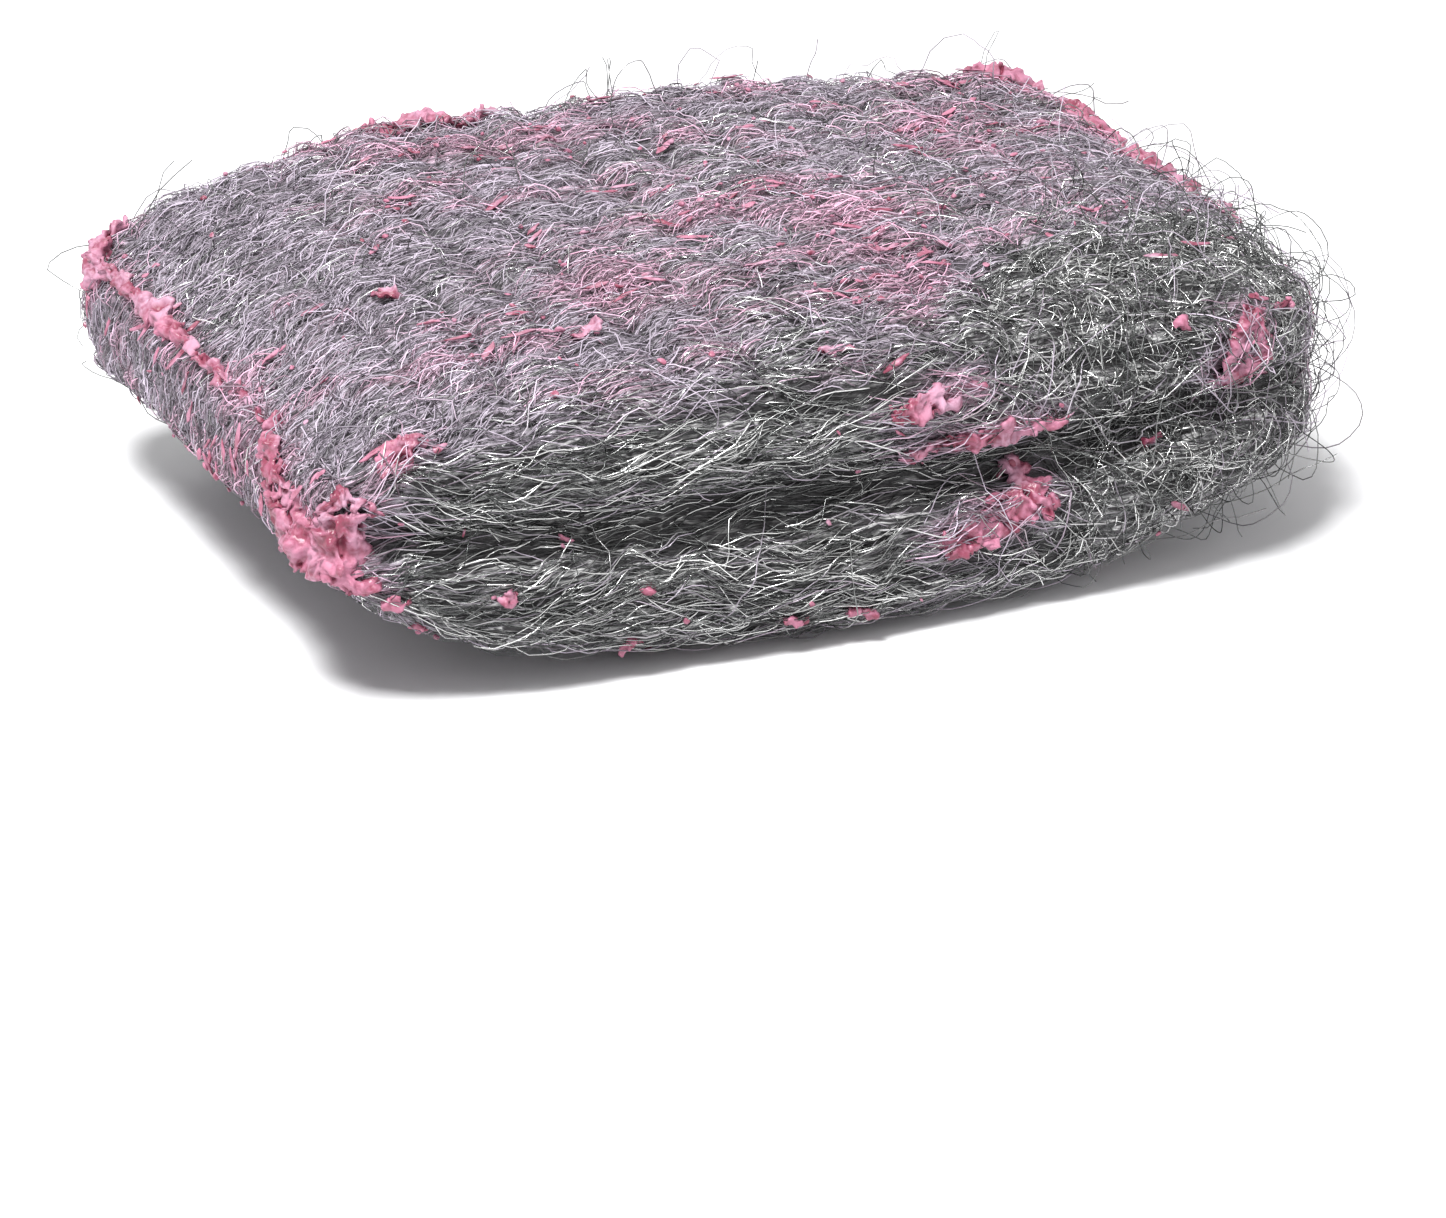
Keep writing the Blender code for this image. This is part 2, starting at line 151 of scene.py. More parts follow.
class WoolSettings(bpy.types.PropertyGroup):
    """Sizes and colours of the steel wool."""

    wire: FloatProperty(
        name="Wire", description="Thickness of a strand", default=0.00008, unit="LENGTH"
    )
    under: FloatProperty(
        name="Matted depth", default=0.0003, unit="LENGTH",
        description="How far the matted wool lies under the outermost strands",
    )
    slit: FloatProperty(
        name="Slit closing", default=0.00035, unit="LENGTH",
        description="Half the widest slit between layers that wool hides at the cut ends",
    )
    skin_grid: FloatProperty(
        name="Skin grid", default=0.0008, unit="LENGTH",
        description="Side of one face of the matted wool under the strands",
    )
    row_pitch: FloatProperty(
        name="Crimp pitch", default=0.004875, unit="LENGTH",
        description="Length of one wave of the crimped web",
    )
    # Steel darkened as painted shade, for the shade that falls among the wires
    bare_steel_with_painted_shade: FloatVectorProperty(
        name="Dark steel", default=(0.080, 0.084, 0.083, 1.0), **COLOUR,
        description="Colour of most bare wires",
    )
    # Steel brightened as painted glint, for the wires that catch the light
    bare_steel_with_painted_glint: FloatVectorProperty(
        name="Bright steel", default=(0.95, 0.95, 0.94, 1.0), **COLOUR,
        description="Colour of the brightest bare wires",
    )
    film: FloatVectorProperty(
        name="Soap film", default=(0.35, 0.305, 0.365, 1.0), **COLOUR,
        description="Colour of wires under a thin film of soap",
    )
    pink_film: FloatVectorProperty(
        name="Thick soap film", default=(0.50, 0.295, 0.395, 1.0), **COLOUR,
        description="Colour of wires under a thick film of soap",
    )


class SoapSettings(bpy.types.PropertyGroup):
    """Sizes and colours of the dried soap."""

    grid: FloatProperty(
        name="Soap grid", default=0.00018, unit="LENGTH",
        description="Side of one face of a dressed soap piece",
    )
    grain: FloatProperty(
        name="Crumble", default=0.00045, unit="LENGTH",
        description="Depth of the crumbled surface of dried soap",
    )
    press: FloatProperty(
        name="Pressed in", default=0.0003, unit="LENGTH",
        description="How far dried soap is pressed in between the wires",
    )
    crumb: FloatProperty(
        name="Crumb", description="Size of a usual crumb", default=0.00032, unit="LENGTH"
    )
    pale: FloatVectorProperty(
        name="Pale soap", default=(0.44, 0.165, 0.25, 1.0), **COLOUR,
        description="Colour of the outside of dried soap",
    )
    faded: FloatVectorProperty(
        name="Faded soap", default=(0.47, 0.27, 0.37, 1.0), **COLOUR,
        description="Colour of places where soap has dried to a paler crust",
    )
    # Deep soap is painted shade, for the pits and low places of the crumbled soap
    deep: FloatVectorProperty(
        name="Deep soap", default=(0.22, 0.040, 0.075, 1.0), **COLOUR,
        description="Colour of soap in pits and where it is moist",
    )


class StageSettings(bpy.types.PropertyGroup):
    """Camera, floor and lamps."""

    azimuth: FloatProperty(
        name="Azimuth", default=math.radians(-24.6), subtype="ANGLE",
        description="Turn of the camera from straight in front",
    )
    elevation: FloatProperty(
        name="Elevation", default=math.radians(22.5), subtype="ANGLE",
        description="Angle at which the camera looks down",
    )
    distance: FloatProperty(
        name="Distance", description="From the camera to the pad", default=0.3852, unit="LENGTH"
    )
    aim_right: FloatProperty(
        name="Aim to the right", default=0.0003, unit="LENGTH",
        description="How far the camera is moved to its right",
    )
    aim_up: FloatProperty(
        name="Aim upwards", default=-0.0072, unit="LENGTH",
        description="How far the camera is moved upwards",
    )
    lens: FloatProperty(name="Lens", description="Focal length in mm", default=136.9)
    sky: FloatProperty(name="Sky", description="Strength of the plain surround", default=0.46)
    key: FloatProperty(
        name="Key lamp", description="Lamp at the front left", default=6.6, subtype="POWER"
    )
    fill: FloatProperty(
        name="Fill lamps", default=0.7, subtype="POWER",
        description="Each lamp at the right and at the back",
    )
    floor: FloatVectorProperty(
        name="Floor", default=(0.86, 0.86, 0.87, 1.0), **COLOUR,
        description="Colour of the floor",
    )


# Node trees


class Tree:
    """Adds nodes to a node tree and links them in one call."""

    def __init__(self, nodes_of):
        self.tree = nodes_of

    @classmethod
    def group(cls, name, kind, inputs, outputs):
        """A new node group. inputs holds (name, type, default), outputs (name, type)."""
        made = cls(bpy.data.node_groups.new(name, kind))
        sockets = made.tree.interface
        for label, held, default in inputs:
            socket = sockets.new_socket(label, in_out="INPUT", socket_type="NodeSocket" + held)
            if default is not None:
                socket.default_value = default
        for label, held in outputs:
            sockets.new_socket(label, in_out="OUTPUT", socket_type="NodeSocket" + held)
        made.inputs = made.tree.nodes.new("NodeGroupInput").outputs
        made.outputs = made.tree.nodes.new("NodeGroupOutput").inputs
        return made

    def add(self, kind, sockets=None, **settings):
        """A node with its settings, and its sockets set or linked by name."""
        node = self.tree.nodes.new(kind)
        for name, value in settings.items():
            setattr(node, name, value)
        for name, value in (sockets or {}).items():
            self.feed(shown_socket(node.inputs, name), value)
        return node

    def result(self, kind, sockets=None, **settings):
        """The first output of a new node."""
        return self.add(kind, sockets, **settings).outputs[0]

    def feed(self, socket, value):
        """Links a socket to another, or sets it to a value."""
        if isinstance(value, bpy.types.NodeSocket):
            self.tree.links.new(value, socket)
        else:
            socket.default_value = value

    def math(self, operation, first, second=0.0, third=0.0):
        """The result of a Math node."""
        node = self.tree.nodes.new("ShaderNodeMath")
        node.operation = operation
        for socket, value in zip(node.inputs, (first, second, third)):
            self.feed(socket, value)
        return node.outputs[0]

    def times(self, first, second):
        """The product of two values."""
        return self.math("MULTIPLY", first, second)

    def minus(self, first, second):
        """The difference of two values."""
        return self.math("SUBTRACT", first, second)

    def vector(self, operation, first, second=(0.0, 0.0, 0.0)):
        """The result of a Vector Math node."""
        node = self.tree.nodes.new("ShaderNodeVectorMath")
        node.operation = operation
        self.feed(node.inputs[0], first)
        self.feed(node.inputs["Scale" if operation == "SCALE" else 1], second)
        return node.outputs[0]

    def attribute(self, name, data_type="FLOAT"):
        """A named attribute of the geometry, in a geometry tree."""
        node = self.add("GeometryNodeInputNamedAttribute", {"Name": name}, data_type=data_type)
        return node.outputs["Attribute"]

    def noise(self, place, scale, detail=2.0, output="Fac"):
        """Noise at a place."""
        node = self.add(
            "ShaderNodeTexNoise", {"Vector": place, "Scale": scale, "Detail": detail}
        )
        return node.outputs[output]

    def ramp(self, value, low, high, start=0.0, end=1.0):
        """value's range from low to high, made start to end and clamped."""
        names = ("Value", "From Min", "From Max", "To Min", "To Max")
        sockets = dict(zip(names, (value, low, high, start, end)))
        return self.result("ShaderNodeMapRange", sockets)

    def mix(self, share, first, second):
        """Two colours mixed."""
        node = self.tree.nodes.new("ShaderNodeMix")
        node.data_type = "RGBA"
        for name, value in (("Factor", share), ("A", first), ("B", second)):
            self.feed(shown_socket(node.inputs, name), value)
        return shown_socket(node.outputs, "Result")


def shown_socket(sockets, name):
    """The socket of that name that the node's mode shows."""
    return next(socket for socket in sockets if socket.name == name and socket.enabled)


def new_material(name):
    """A material with its tree, and its Principled shader."""
    material = bpy.data.materials.new(name)
    material.use_nodes = True
    tree = Tree(material.node_tree)
    return material, tree, material.node_tree.nodes["Principled BSDF"]


# Meshes


def ramp(values, low, high):
    """0 below low, 1 above high, smooth between."""
    share = np.clip((values - low) / (high - low), 0.0, 1.0)
    return share * share * (3.0 - 2.0 * share)


def points_of(mesh, field="co"):
    """A mesh's vertex places or normals as rows."""
    values = np.empty(len(mesh.vertices) * 3, np.float32)
    if field == "co":
        mesh.vertices.foreach_get("co", values)
    else:
        mesh.vertex_normals.foreach_get("vector", values)
    return values.reshape(-1, 3)


def move_points(mesh, places):
    """Puts a mesh's vertices at their new places."""
    mesh.vertices.foreach_set("co", places.astype(np.float32).ravel())
    mesh.update()


def noise_at(places, spacing, offset=0.0):
    """Smooth noise from -1 to 1 at each place. spacing is one number or three."""
    shift = Vector((offset, offset * 0.7, offset * 1.3))
    scaled = places / np.array(spacing)
    return np.array([noise.noise(Vector(place) + shift) for place in scaled])


def linked(name, mesh):
    """A new object in the scene."""
    made = bpy.data.objects.new(name, mesh)
    bpy.context.scene.collection.objects.link(made)
    return made


def baked_down(source, name):
    """source as a plain mesh object, with its modifiers in the mesh."""
    graph = bpy.context.evaluated_depsgraph_get()
    mesh = bpy.data.meshes.new_from_object(source.evaluated_get(graph))
    bpy.data.objects.remove(source, do_unlink=True)
    mesh.name = name
    return linked(name, mesh)


def merged_shape(node):
    """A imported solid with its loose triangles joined, for editing."""
    shape = bmesh.new()
    shape.from_mesh(frame["nodes"][node].data)
    bmesh.ops.remove_doubles(shape, verts=shape.verts, dist=0.002 * MM)
    return shape


def shape_object(shape, name):
    """An object of an edited shape."""
    mesh = bpy.data.meshes.new(name)
    shape.to_mesh(mesh)
    shape.free()
    return linked(name, mesh)


def new_modifier(thing, kind, **settings):
    """A modifier with its settings."""
    modifier = thing.modifiers.new(kind.lower(), kind)
    for name, value in settings.items():
        setattr(modifier, name, value)
    return modifier


def store(mesh, name, values, kind="FLOAT"):
    """Writes a named attribute of the mesh's vertices."""
    attribute = mesh.attributes.new(name, kind, "POINT")
    field = "vector" if kind == "FLOAT_VECTOR" else "value"
    attribute.data.foreach_set(field, np.asarray(values, np.float32).ravel())


def lay_out_faces(mesh):
    """Gives each face its own cell of a square map, so that it can be baked."""
    count = len(mesh.polygons)
    columns = math.ceil(math.sqrt(count))
    sizes = np.empty(count, np.int32)
    mesh.polygons.foreach_get("loop_total", sizes)
    face = np.repeat(np.arange(count), sizes)
    starts = np.repeat(np.cumsum(sizes) - sizes, sizes)
    corner = np.arange(len(face)) - starts
    across = np.array([0.15, 0.85, 0.85, 0.15])[corner % 4]
    up = np.array([0.15, 0.15, 0.85, 0.85])[corner % 4]
    cells = np.stack([face % columns + across, face // columns + up], axis=1) / columns
    layer = mesh.uv_layers.new(name="OFBake")
    layer.data.foreach_set("uv", cells.astype(np.float32).ravel())


def dress(piece):
    """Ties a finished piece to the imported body."""
    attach(piece, BODY)


# Wool


def shares(places):
    """Where each place is on the pad: -1 to 1 along it, and -1 to 1 across it."""
    along = (places[:, 0] - PAD_MIDDLE.x) / PAD_HALF.x
    across = (places[:, 1] - PAD_MIDDLE.y) / PAD_HALF.y
    return along, across


def relief(mesh, places, normals):
    """How far each place lies under its smoothed surroundings. Hollows are above 0."""
    ends = np.empty(len(mesh.edges) * 2, np.int32)
    mesh.edges.foreach_get("vertices", ends)
    first, second = ends.reshape(-1, 2).T
    count = np.bincount(ends, minlength=len(places))[:, None]
    smooth = places.astype(np.float64)
    for _ in range(RELIEF_ROUNDS):
        total = np.zeros_like(smooth)
        for axis in range(3):
            column = smooth[:, axis]
            total[:, axis] += np.bincount(first, column[second], len(places))
            total[:, axis] += np.bincount(second, column[first], len(places))
        smooth = total / count
    return np.sum((smooth - places) * normals, axis=1)


def soap_distance(places, nodes=SOAP_NODES):
    """How far each place is from the nearest of these packed soap solids."""
    corners = [vertex.co for node in nodes for vertex in frame["nodes"][node].data.vertices]
    tree = kdtree.KDTree(len(corners))
    for index, corner in enumerate(corners):
        tree.insert(corner, index)
    tree.balance()
    return np.array([tree.find(Vector(place))[2] for place in places])


def bare_corner(places):
    """1 in the tangled wool of the sprung corner, 0 elsewhere."""
    along, across = shares(places)
    return ramp(along - 0.55 * across + 0.25 * noise_at(places, 6 * MM, 21.0), 0.62, 0.98)


def film_cover(places, normals):
    """How much of the wool the soap film coats at each place, and the thick part."""
    along, across = shares(places)
    x, y = places[:, 0], places[:, 1]
    ragged = noise_at(places, 9 * MM, 5.0) * RAGGED_WIDE
    ragged += noise_at(places, 3 * MM, 6.0) * RAGGED_FINE
    bare_line = BARE_LINE + BARE_SLOPE * np.maximum(x - BARE_FROM_X, 0.0)
    on_top = ramp(normals[:, 2], 0.25, 0.75) * ramp(y + ragged - bare_line, -2 * MM, 2 * MM)
    on_top *= ramp(places[:, 2], 11.5 * MM, 14.0 * MM)
    patchy = 0.80 + 0.35 * noise_at(places, (11 * MM, 6 * MM, 6 * MM), 2.0)
    left_end = 0.85 * ramp(-normals[:, 0], 0.45, 0.8) * ramp(-along, 0.6, 0.9)
    right_end = 0.7 * ramp(normals[:, 0], 0.45, 0.8) * ramp(along, 0.6, 0.9)
    under = 0.45 * ramp(-normals[:, 2], 0.5, 0.9)
    near = soap_distance(places) + 0.7 * MM * noise_at(places, 1.5 * MM, 12.0)
    beside = 0.9 * ramp(-near, -1.9 * MM, -0.6 * MM)
    film = np.maximum.reduce([on_top * patchy, left_end, right_end, under, beside])

    streaks = noise_at(places, (8 * MM, 2.0 * MM, 2.0 * MM), 8.0)
    warm = noise_at(places, 15 * MM, 9.0)
    level = -0.20 + 0.30 * ramp(-along, 0.5, 0.85)
    fine = noise_at(places, (4 * MM, 1.2 * MM, 1.2 * MM), 10.0)
    front_middle = ramp(across, -0.95, -0.55) * ramp(-across, -0.10, 0.35)
    front_middle *= ramp(-along, -0.4, 0.1)
    back_right = ramp(along, 0.2, 0.7) * ramp(across, 0.0, 0.4)
    warm += 0.55 * np.maximum(front_middle, back_right)
    pink = ramp(0.8 * streaks + 0.45 * warm + 0.35 * fine, level, level + 0.75)
    patches = ramp(noise_at(places, 2.6 * MM, 51.0), 0.02, 0.30)
    pink = np.maximum(pink, 0.9 * patches * ramp(-normals[:, 0], 0.45, 0.8))
    pink = np.maximum(pink, 0.8 * ramp(-near, -1.3 * MM, -0.5 * MM))
    return np.clip(film, 0.0, 1.0), np.clip(film, 0.0, 1.0) * pink


def strand_lay(places, normals):
    """The way strands run at each place: along the folds, and down the cut ends."""
    along, across = shares(places)
    lay = np.zeros_like(places)
    lay[:, 0] = 1.0
    lay[:, 1] = 0.45 * ramp(-along, 0.40, 0.95) - 0.12 * across * np.abs(along)
    wide, fine = noise_at(places, 10 * MM, 4.0), noise_at(places, 3.2 * MM, 14.0)
    lay[:, 1] += 0.22 * wide + 0.50 * fine
    lay[:, 2] = 0.35 * noise_at(places, (7 * MM, 2.5 * MM, 2.5 * MM), 15.0)
    ends = ramp(np.abs(normals[:, 0]), 0.5, 0.85)[:, None]
    down = np.array([0.0, 0.25, -1.0])
    return lay * (1.0 - ends) + down * ends


def side_covers(normals):
    """How much each side of the pad owns of each place. They add up to 1."""
    sides = {
        "top": ramp(normals[:, 2], 0.25, 0.65),
        "base": ramp(-normals[:, 2], 0.45, 0.85),
        "front": ramp(-normals[:, 1], 0.35, 0.75),
        "back": ramp(normals[:, 1], 0.35, 0.75),
        "left": ramp(-normals[:, 0], 0.35, 0.75),
        "right": ramp(normals[:, 0], 0.35, 0.75),
    }
    total = sum(sides.values()) + 0.001
    return {name: share / total for name, share in sides.items()}


def lock_gaps(places, normals):
    """1 in the gaps between locks of strands and between layers, 0 elsewhere. The deep wool
    paints shade there.
    """
    pockets = ramp(noise_at(places, (4.5 * MM, 1.2 * MM, 1.2 * MM), 31.0), 0.22, 0.50)
    layers = ramp(noise_at(places, (16 * MM, 3 * MM, 1.7 * MM), 41.0), 0.10, 0.40)
    sides = ramp(np.abs(normals[:, 1]), 0.4, 0.8)
    ends = ramp(np.abs(normals[:, 0]), 0.5, 0.85)
    return np.maximum(0.8 * pockets, layers * sides) * (1.0 - ends)


def covers(places, normals, hollow, film, pink):
    """How thickly each growth covers each place."""
    along, across = shares(places)
    corner = bare_corner(places) * ramp(places[:, 2], 1 * MM, 5 * MM)
    room = (1.0 - 0.5 * corner) * (1.0 - 0.5 * hollow)
    sides = {name: side * room for name, side in side_covers(normals).items()}
    above = ramp(places[:, 2], 2 * MM, 6 * MM)
    back_edge = ramp(across, 0.75, 0.95) * ramp(normals[:, 2], -0.2, 0.4)
    back_left = ramp(-along, 0.6, 0.9) * ramp(across, 0.2, 0.7)
    right_end = 0.45 * ramp(along, 0.6, 0.95)
    front = 0.12 * ramp(-normals[:, 1], 0.2, 0.7)
    loose = [corner, right_end, 0.45 * back_edge, 0.25 * back_left, front]
    no_left = 1.0 - 0.85 * ramp(-normals[:, 0], 0.3, 0.7)
    return {
        **sides,
        "arches": sides["top"] * (1.0 - 0.85 * hollow),
        "corner": corner,
        "loose": above * no_left * np.maximum(np.maximum.reduce(loose), 0.05),
        "crumbs": (0.05 + 0.4 * film + pink) * (1.0 - 0.6 * ramp(-normals[:, 0], 0.3, 0.7)),
        "chips": 0.02 + ramp(pink, 0.3, 0.9),
    }


def wool_skin(settings):
    """The matted outside of the folded pad as one even mesh."""
    pad = shape_object(merged_shape("steel_wool_pad"), SKIN + "_source")
    new_modifier(pad, "DISPLACE", strength=settings.slit, mid_level=0.0)
    new_modifier(pad, "REMESH", mode="VOXEL", voxel_size=settings.skin_grid)
    inwards = -settings.slit - settings.under
    new_modifier(pad, "DISPLACE", strength=inwards, mid_level=0.0)
    new_modifier(pad, "SMOOTH", factor=0.5, iterations=3)
    skin = baked_down(pad, SKIN)
    mesh = skin.data
    places, normals = points_of(mesh), points_of(mesh, "normal")
    sunk = relief(mesh, places, normals)
    # hollow marks recesses and the gaps between locks and layers: the skin sinks there, fewer
    # strands grow there, and the deep wool paints shade there.
    hollow = np.maximum(ramp(sunk, 0.02 * MM, 0.26 * MM), lock_gaps(places, normals))
    film, pink = film_cover(places, normals)
    tufts = noise_at(places, (3.5 * MM, 1.3 * MM, 1.3 * MM), 1.0)
    matted = ramp(pink + 0.3 * tufts, 0.45, 0.85)
    rise = TUFT_RISE * tufts + HOLLOW_RISE * hollow + MATTED_RISE * matted
    rise *= np.where(normals[:, 2] < -0.3, 0.25, 1.0)
    moved = places + normals * rise[:, None]
    moved[:, 2] = np.maximum(moved[:, 2], SKIN_OVER_FLOOR)
    move_points(mesh, moved)

    tangle = bare_corner(places)
    ends = ramp(np.abs(normals[:, 0]), 0.5, 0.85)
    phase = places[:, 0] / settings.row_pitch
    store(mesh, "skin_normal", normals, "FLOAT_VECTOR")
    store(mesh, "lay", strand_lay(places, normals), "FLOAT_VECTOR")
    store(mesh, "spread", 0.33 + 0.85 * tangle + 0.10 * noise_at(places, 8 * MM, 7.0))
    store(mesh, "sway", np.sin(2 * math.pi * phase) * (1.0 - ends) * (1.0 - tangle))
    thin_soap = ramp(-soap_distance(places, THIN_NODES), -1.3 * MM, -0.4 * MM)
    store(mesh, "over", OVER_SOAP * thin_soap)
    store(mesh, "hollow", hollow)
    store(mesh, "end", ends)
    store(mesh, "film", film)
    store(mesh, "pink", pink)
    for name, share in covers(places, normals, hollow, film, pink).items():
        store(mesh, "cover_" + name, share)
    mesh.shade_smooth()
    return skin


# Growths on the wool

SCATTER_INPUTS = [
    ("Geometry", "Geometry", None),
    ("Cover", "String", "cover_top"),
    ("Density", "Float", 1.0),
    ("Seed", "Int", SEED),
    ("Material", "Material", None),
]
WIRE_INPUTS = [
    ("Shortest", "Float", 0.004),
    ("Longest", "Float", 0.009),
    ("Segments", "Int", 6),
    ("Wire", "Float", 0.00011),
    ("Lowest", "Float", 0.0),
    ("Highest", "Float", 0.0006),
    ("Curl", "Float", 0.0004),
    ("Stray", "Float", 1.0),
    ("Brightness", "Float", 1.0),
]


def growth_tree(name, inputs):
    """A tree that grows something on the skin. It ends in finished()."""
    outputs = [("Geometry", "Geometry")]
    return Tree.group(name, "GeometryNodeTree", SCATTER_INPUTS + inputs, outputs)


def chance(tree, number, low=0.0, high=1.0, **settings):
    """A random value for each root. number keeps one draw apart from the next."""
    seed = tree.math("ADD", tree.inputs["Seed"], float(number))
    node = tree.add(
        "FunctionNodeRandomValue", {"Min": low, "Max": high, "Seed": seed}, **settings
    )
    return shown_socket(node.outputs, "Value")


def rooted(tree):
    """Roots on the skin, as thick as the cover says, each with a tone of its own."""
    given = tree.inputs
    density = tree.times(tree.attribute(given["Cover"]), given["Density"])
    sockets = {"Mesh": given["Geometry"], "Density": density, "Seed": given["Seed"]}
    roots = tree.add("GeometryNodeDistributePointsOnFaces", sockets).outputs
    return stored(tree, roots["Points"], "tone", chance(tree, 1)), roots["Normal"]


def placed(tree, points, normal, angle, shape, size):
    """The shape at every root, upright, turned by angle from the lay, as one geometry."""
    sockets = {"Primary Axis": normal, "Secondary Axis": tree.attribute("lay", "FLOAT_VECTOR")}
    axes = {"primary_axis": "Z", "secondary_axis": "X"}
    upright = tree.result("FunctionNodeAxesToRotation", sockets, **axes)
    sockets = {"Axis": (0.0, 0.0, 1.0), "Angle": angle}
    turn = tree.result("FunctionNodeAxisAngleToRotation", sockets)
    sockets = {"Rotation": upright, "Rotate By": turn}
    turned = tree.result("FunctionNodeRotateRotation", sockets, rotation_space="LOCAL")
    sockets = {"Points": points, "Instance": shape, "Rotation": turned, "Scale": size}
    copies = tree.result("GeometryNodeInstanceOnPoints", sockets)
    return tree.result("GeometryNodeRealizeInstances", {"Geometry": copies})


def straight_wires(tree, points, normal, angle):
    """A straight line of the given length and segments at every root."""
    given = tree.inputs
    length = chance(tree, 6, given["Shortest"], given["Longest"])
    sockets = {"Start": (-0.5, 0.0, 0.0), "End": (0.5, 0.0, 0.0)}
    line = tree.result("GeometryNodeCurvePrimitiveLine", sockets)
    sockets = {"Curve": line, "Count": tree.math("ADD", given["Segments"], 1.0)}
    counted = tree.result("GeometryNodeResampleCurve", sockets)
    size = tree.result("ShaderNodeCombineXYZ", {"X": length, "Y": 1.0, "Z": 1.0})
    return placed(tree, points, normal, angle, counted, size)


def stored(tree, geometry, name, value):
    """The geometry with a value kept as a named attribute."""
    sockets = {"Geometry": geometry, "Name": name, "Value": value}
    kept = {"data_type": "FLOAT", "domain": "POINT"}
    return tree.result("GeometryNodeStoreNamedAttribute", sockets, **kept)


def sampled(tree, name, place, data_type="FLOAT"):
    """A named attribute of the skin, where it is nearest to a place."""
    sockets = {
        "Mesh": tree.inputs["Geometry"],
        "Value": tree.attribute(name, data_type),
        "Sample Position": place,
    }
    node = tree.add("GeometryNodeSampleNearestSurface", sockets, data_type=data_type)
    return node.outputs["Value"]


def ground_under(tree, place):
    """The nearest point of the skin, and the way out of the wool there."""
    near = tree.add(
        "GeometryNodeProximity",
        {"Geometry": tree.inputs["Geometry"], "Sample Position": place},
        target_element="FACES",
    )
    return near.outputs["Position"], sampled(tree, "skin_normal", place, "FLOAT_VECTOR")


def finished(tree, geometry):
    """Ends a growth tree in plain, smooth geometry with its material."""
    smooth = tree.result("GeometryNodeSetShadeSmooth", {"Geometry": geometry})
    plain = tree.result("GeometryNodeRealizeInstances", {"Geometry": smooth})
    coated = tree.result(
        "GeometryNodeSetMaterial", {"Geometry": plain, "Material": tree.inputs["Material"]}
    )
    tree.feed(tree.outputs["Geometry"], coated)
    return tree.tree


def above_floor(tree, place, lowest):
    """A place, or the one at that height over it where it is lower."""
    parts = tree.add("ShaderNodeSeparateXYZ", {"Vector": place}).outputs
    height = tree.math("MAXIMUM", parts["Z"], lowest)
    sockets = {"X": parts["X"], "Y": parts["Y"], "Z": height}
    return tree.result("ShaderNodeCombineXYZ", sockets)


def finished_wires(tree, curves, place):
    """Lays the curves at place, above the floor, as closed three-sided wires."""
    wire = tree.inputs["Wire"]
    sockets = {"Geometry": curves, "Position": above_floor(tree, place, wire)}
    laid = tree.result("GeometryNodeSetPosition", sockets)
    section = tree.result(
        "GeometryNodeCurvePrimitiveCircle", {"Resolution": 3, "Radius": tree.times(wire, 0.5)}
    )
    taper = tree.ramp(tree.attribute("tone"), 0.0, 1.0, THINNEST, THICKEST)
    sockets = {"Curve": laid, "Profile Curve": section, "Scale": taper, "Fill Caps": True}
    return finished(tree, tree.result("GeometryNodeCurveToMesh", sockets))


def strand_tree():
    """Strands that lie on the skin as low arches, with their ends tucked into it."""
    tree = growth_tree("Wool strands", WIRE_INPUTS)
    given = tree.inputs
    points, normal = rooted(tree)
    points = stored(tree, points, "height", chance(tree, 2, given["Lowest"], given["Highest"]))
    points = stored(tree, points, "tilt", chance(tree, 3, -1.0, 1.0))
    angle = tree.math("ADD", chance(tree, 4, -1.0, 1.0), chance(tree, 5, -1.0, 1.0))
    angle = tree.times(angle, tree.attribute("spread"))
    angle = tree.times(angle, given["Stray"])
    strands = straight_wires(tree, points, normal, angle)

    here = tree.result("GeometryNodeInputPosition")
    ground, out = ground_under(tree, here)
    tangent = tree.result("GeometryNodeInputTangent")
    side = tree.vector("NORMALIZE", tree.vector("CROSS_PRODUCT", out, tangent))
    drift = tree.vector("SCALE", OWN_SHIFT, tree.attribute("tone"))
    own = tree.noise(tree.vector("ADD", here, drift), OWN_BENDS, 1.0)
    shared = tree.noise(here, SHARED_BENDS, 1.0)
    wander = tree.minus(tree.math("MULTIPLY_ADD", own, 1.3, shared), 1.15)
    swing = tree.times(sampled(tree, "sway", here), 0.12 * MM)
    reach = tree.times(given["Curl"], 2.4)
    swing = tree.math("MULTIPLY_ADD", wander, reach, swing)
    factor = tree.add("GeometryNodeSplineParameter").outputs["Factor"]
    arch = tree.times(factor, tree.minus(1.0, factor))
    arch = tree.math("MINIMUM", tree.times(arch, ARCH_STEEPNESS), 1.0)
    lean = tree.times(tree.minus(factor, 0.5), tree.attribute("tilt"))
    lift = tree.math("MULTIPLY_ADD", lean, given["Highest"], tree.attribute("height"))
    ripple = tree.noise(tree.vector("SUBTRACT", here, drift), OWN_BENDS, 1.0)
    lift = tree.math("MULTIPLY_ADD", tree.minus(ripple, 0.5), given["Curl"], lift)
    crossing = tree.math("GREATER_THAN", tree.attribute("tone"), CROSSING_FROM)
    over = tree.times(sampled(tree, "over", here), crossing)
    lift = tree.math("ADD", lift, over)
    lift = tree.math("MULTIPLY_ADD", tree.minus(lift, TUCKED), arch, TUCKED)
    place = tree.vector("ADD", ground, tree.vector("SCALE", out, lift))
    place = tree.vector("ADD", place, tree.vector("SCALE", side, swing))
    return finished_wires(tree, strands, place)


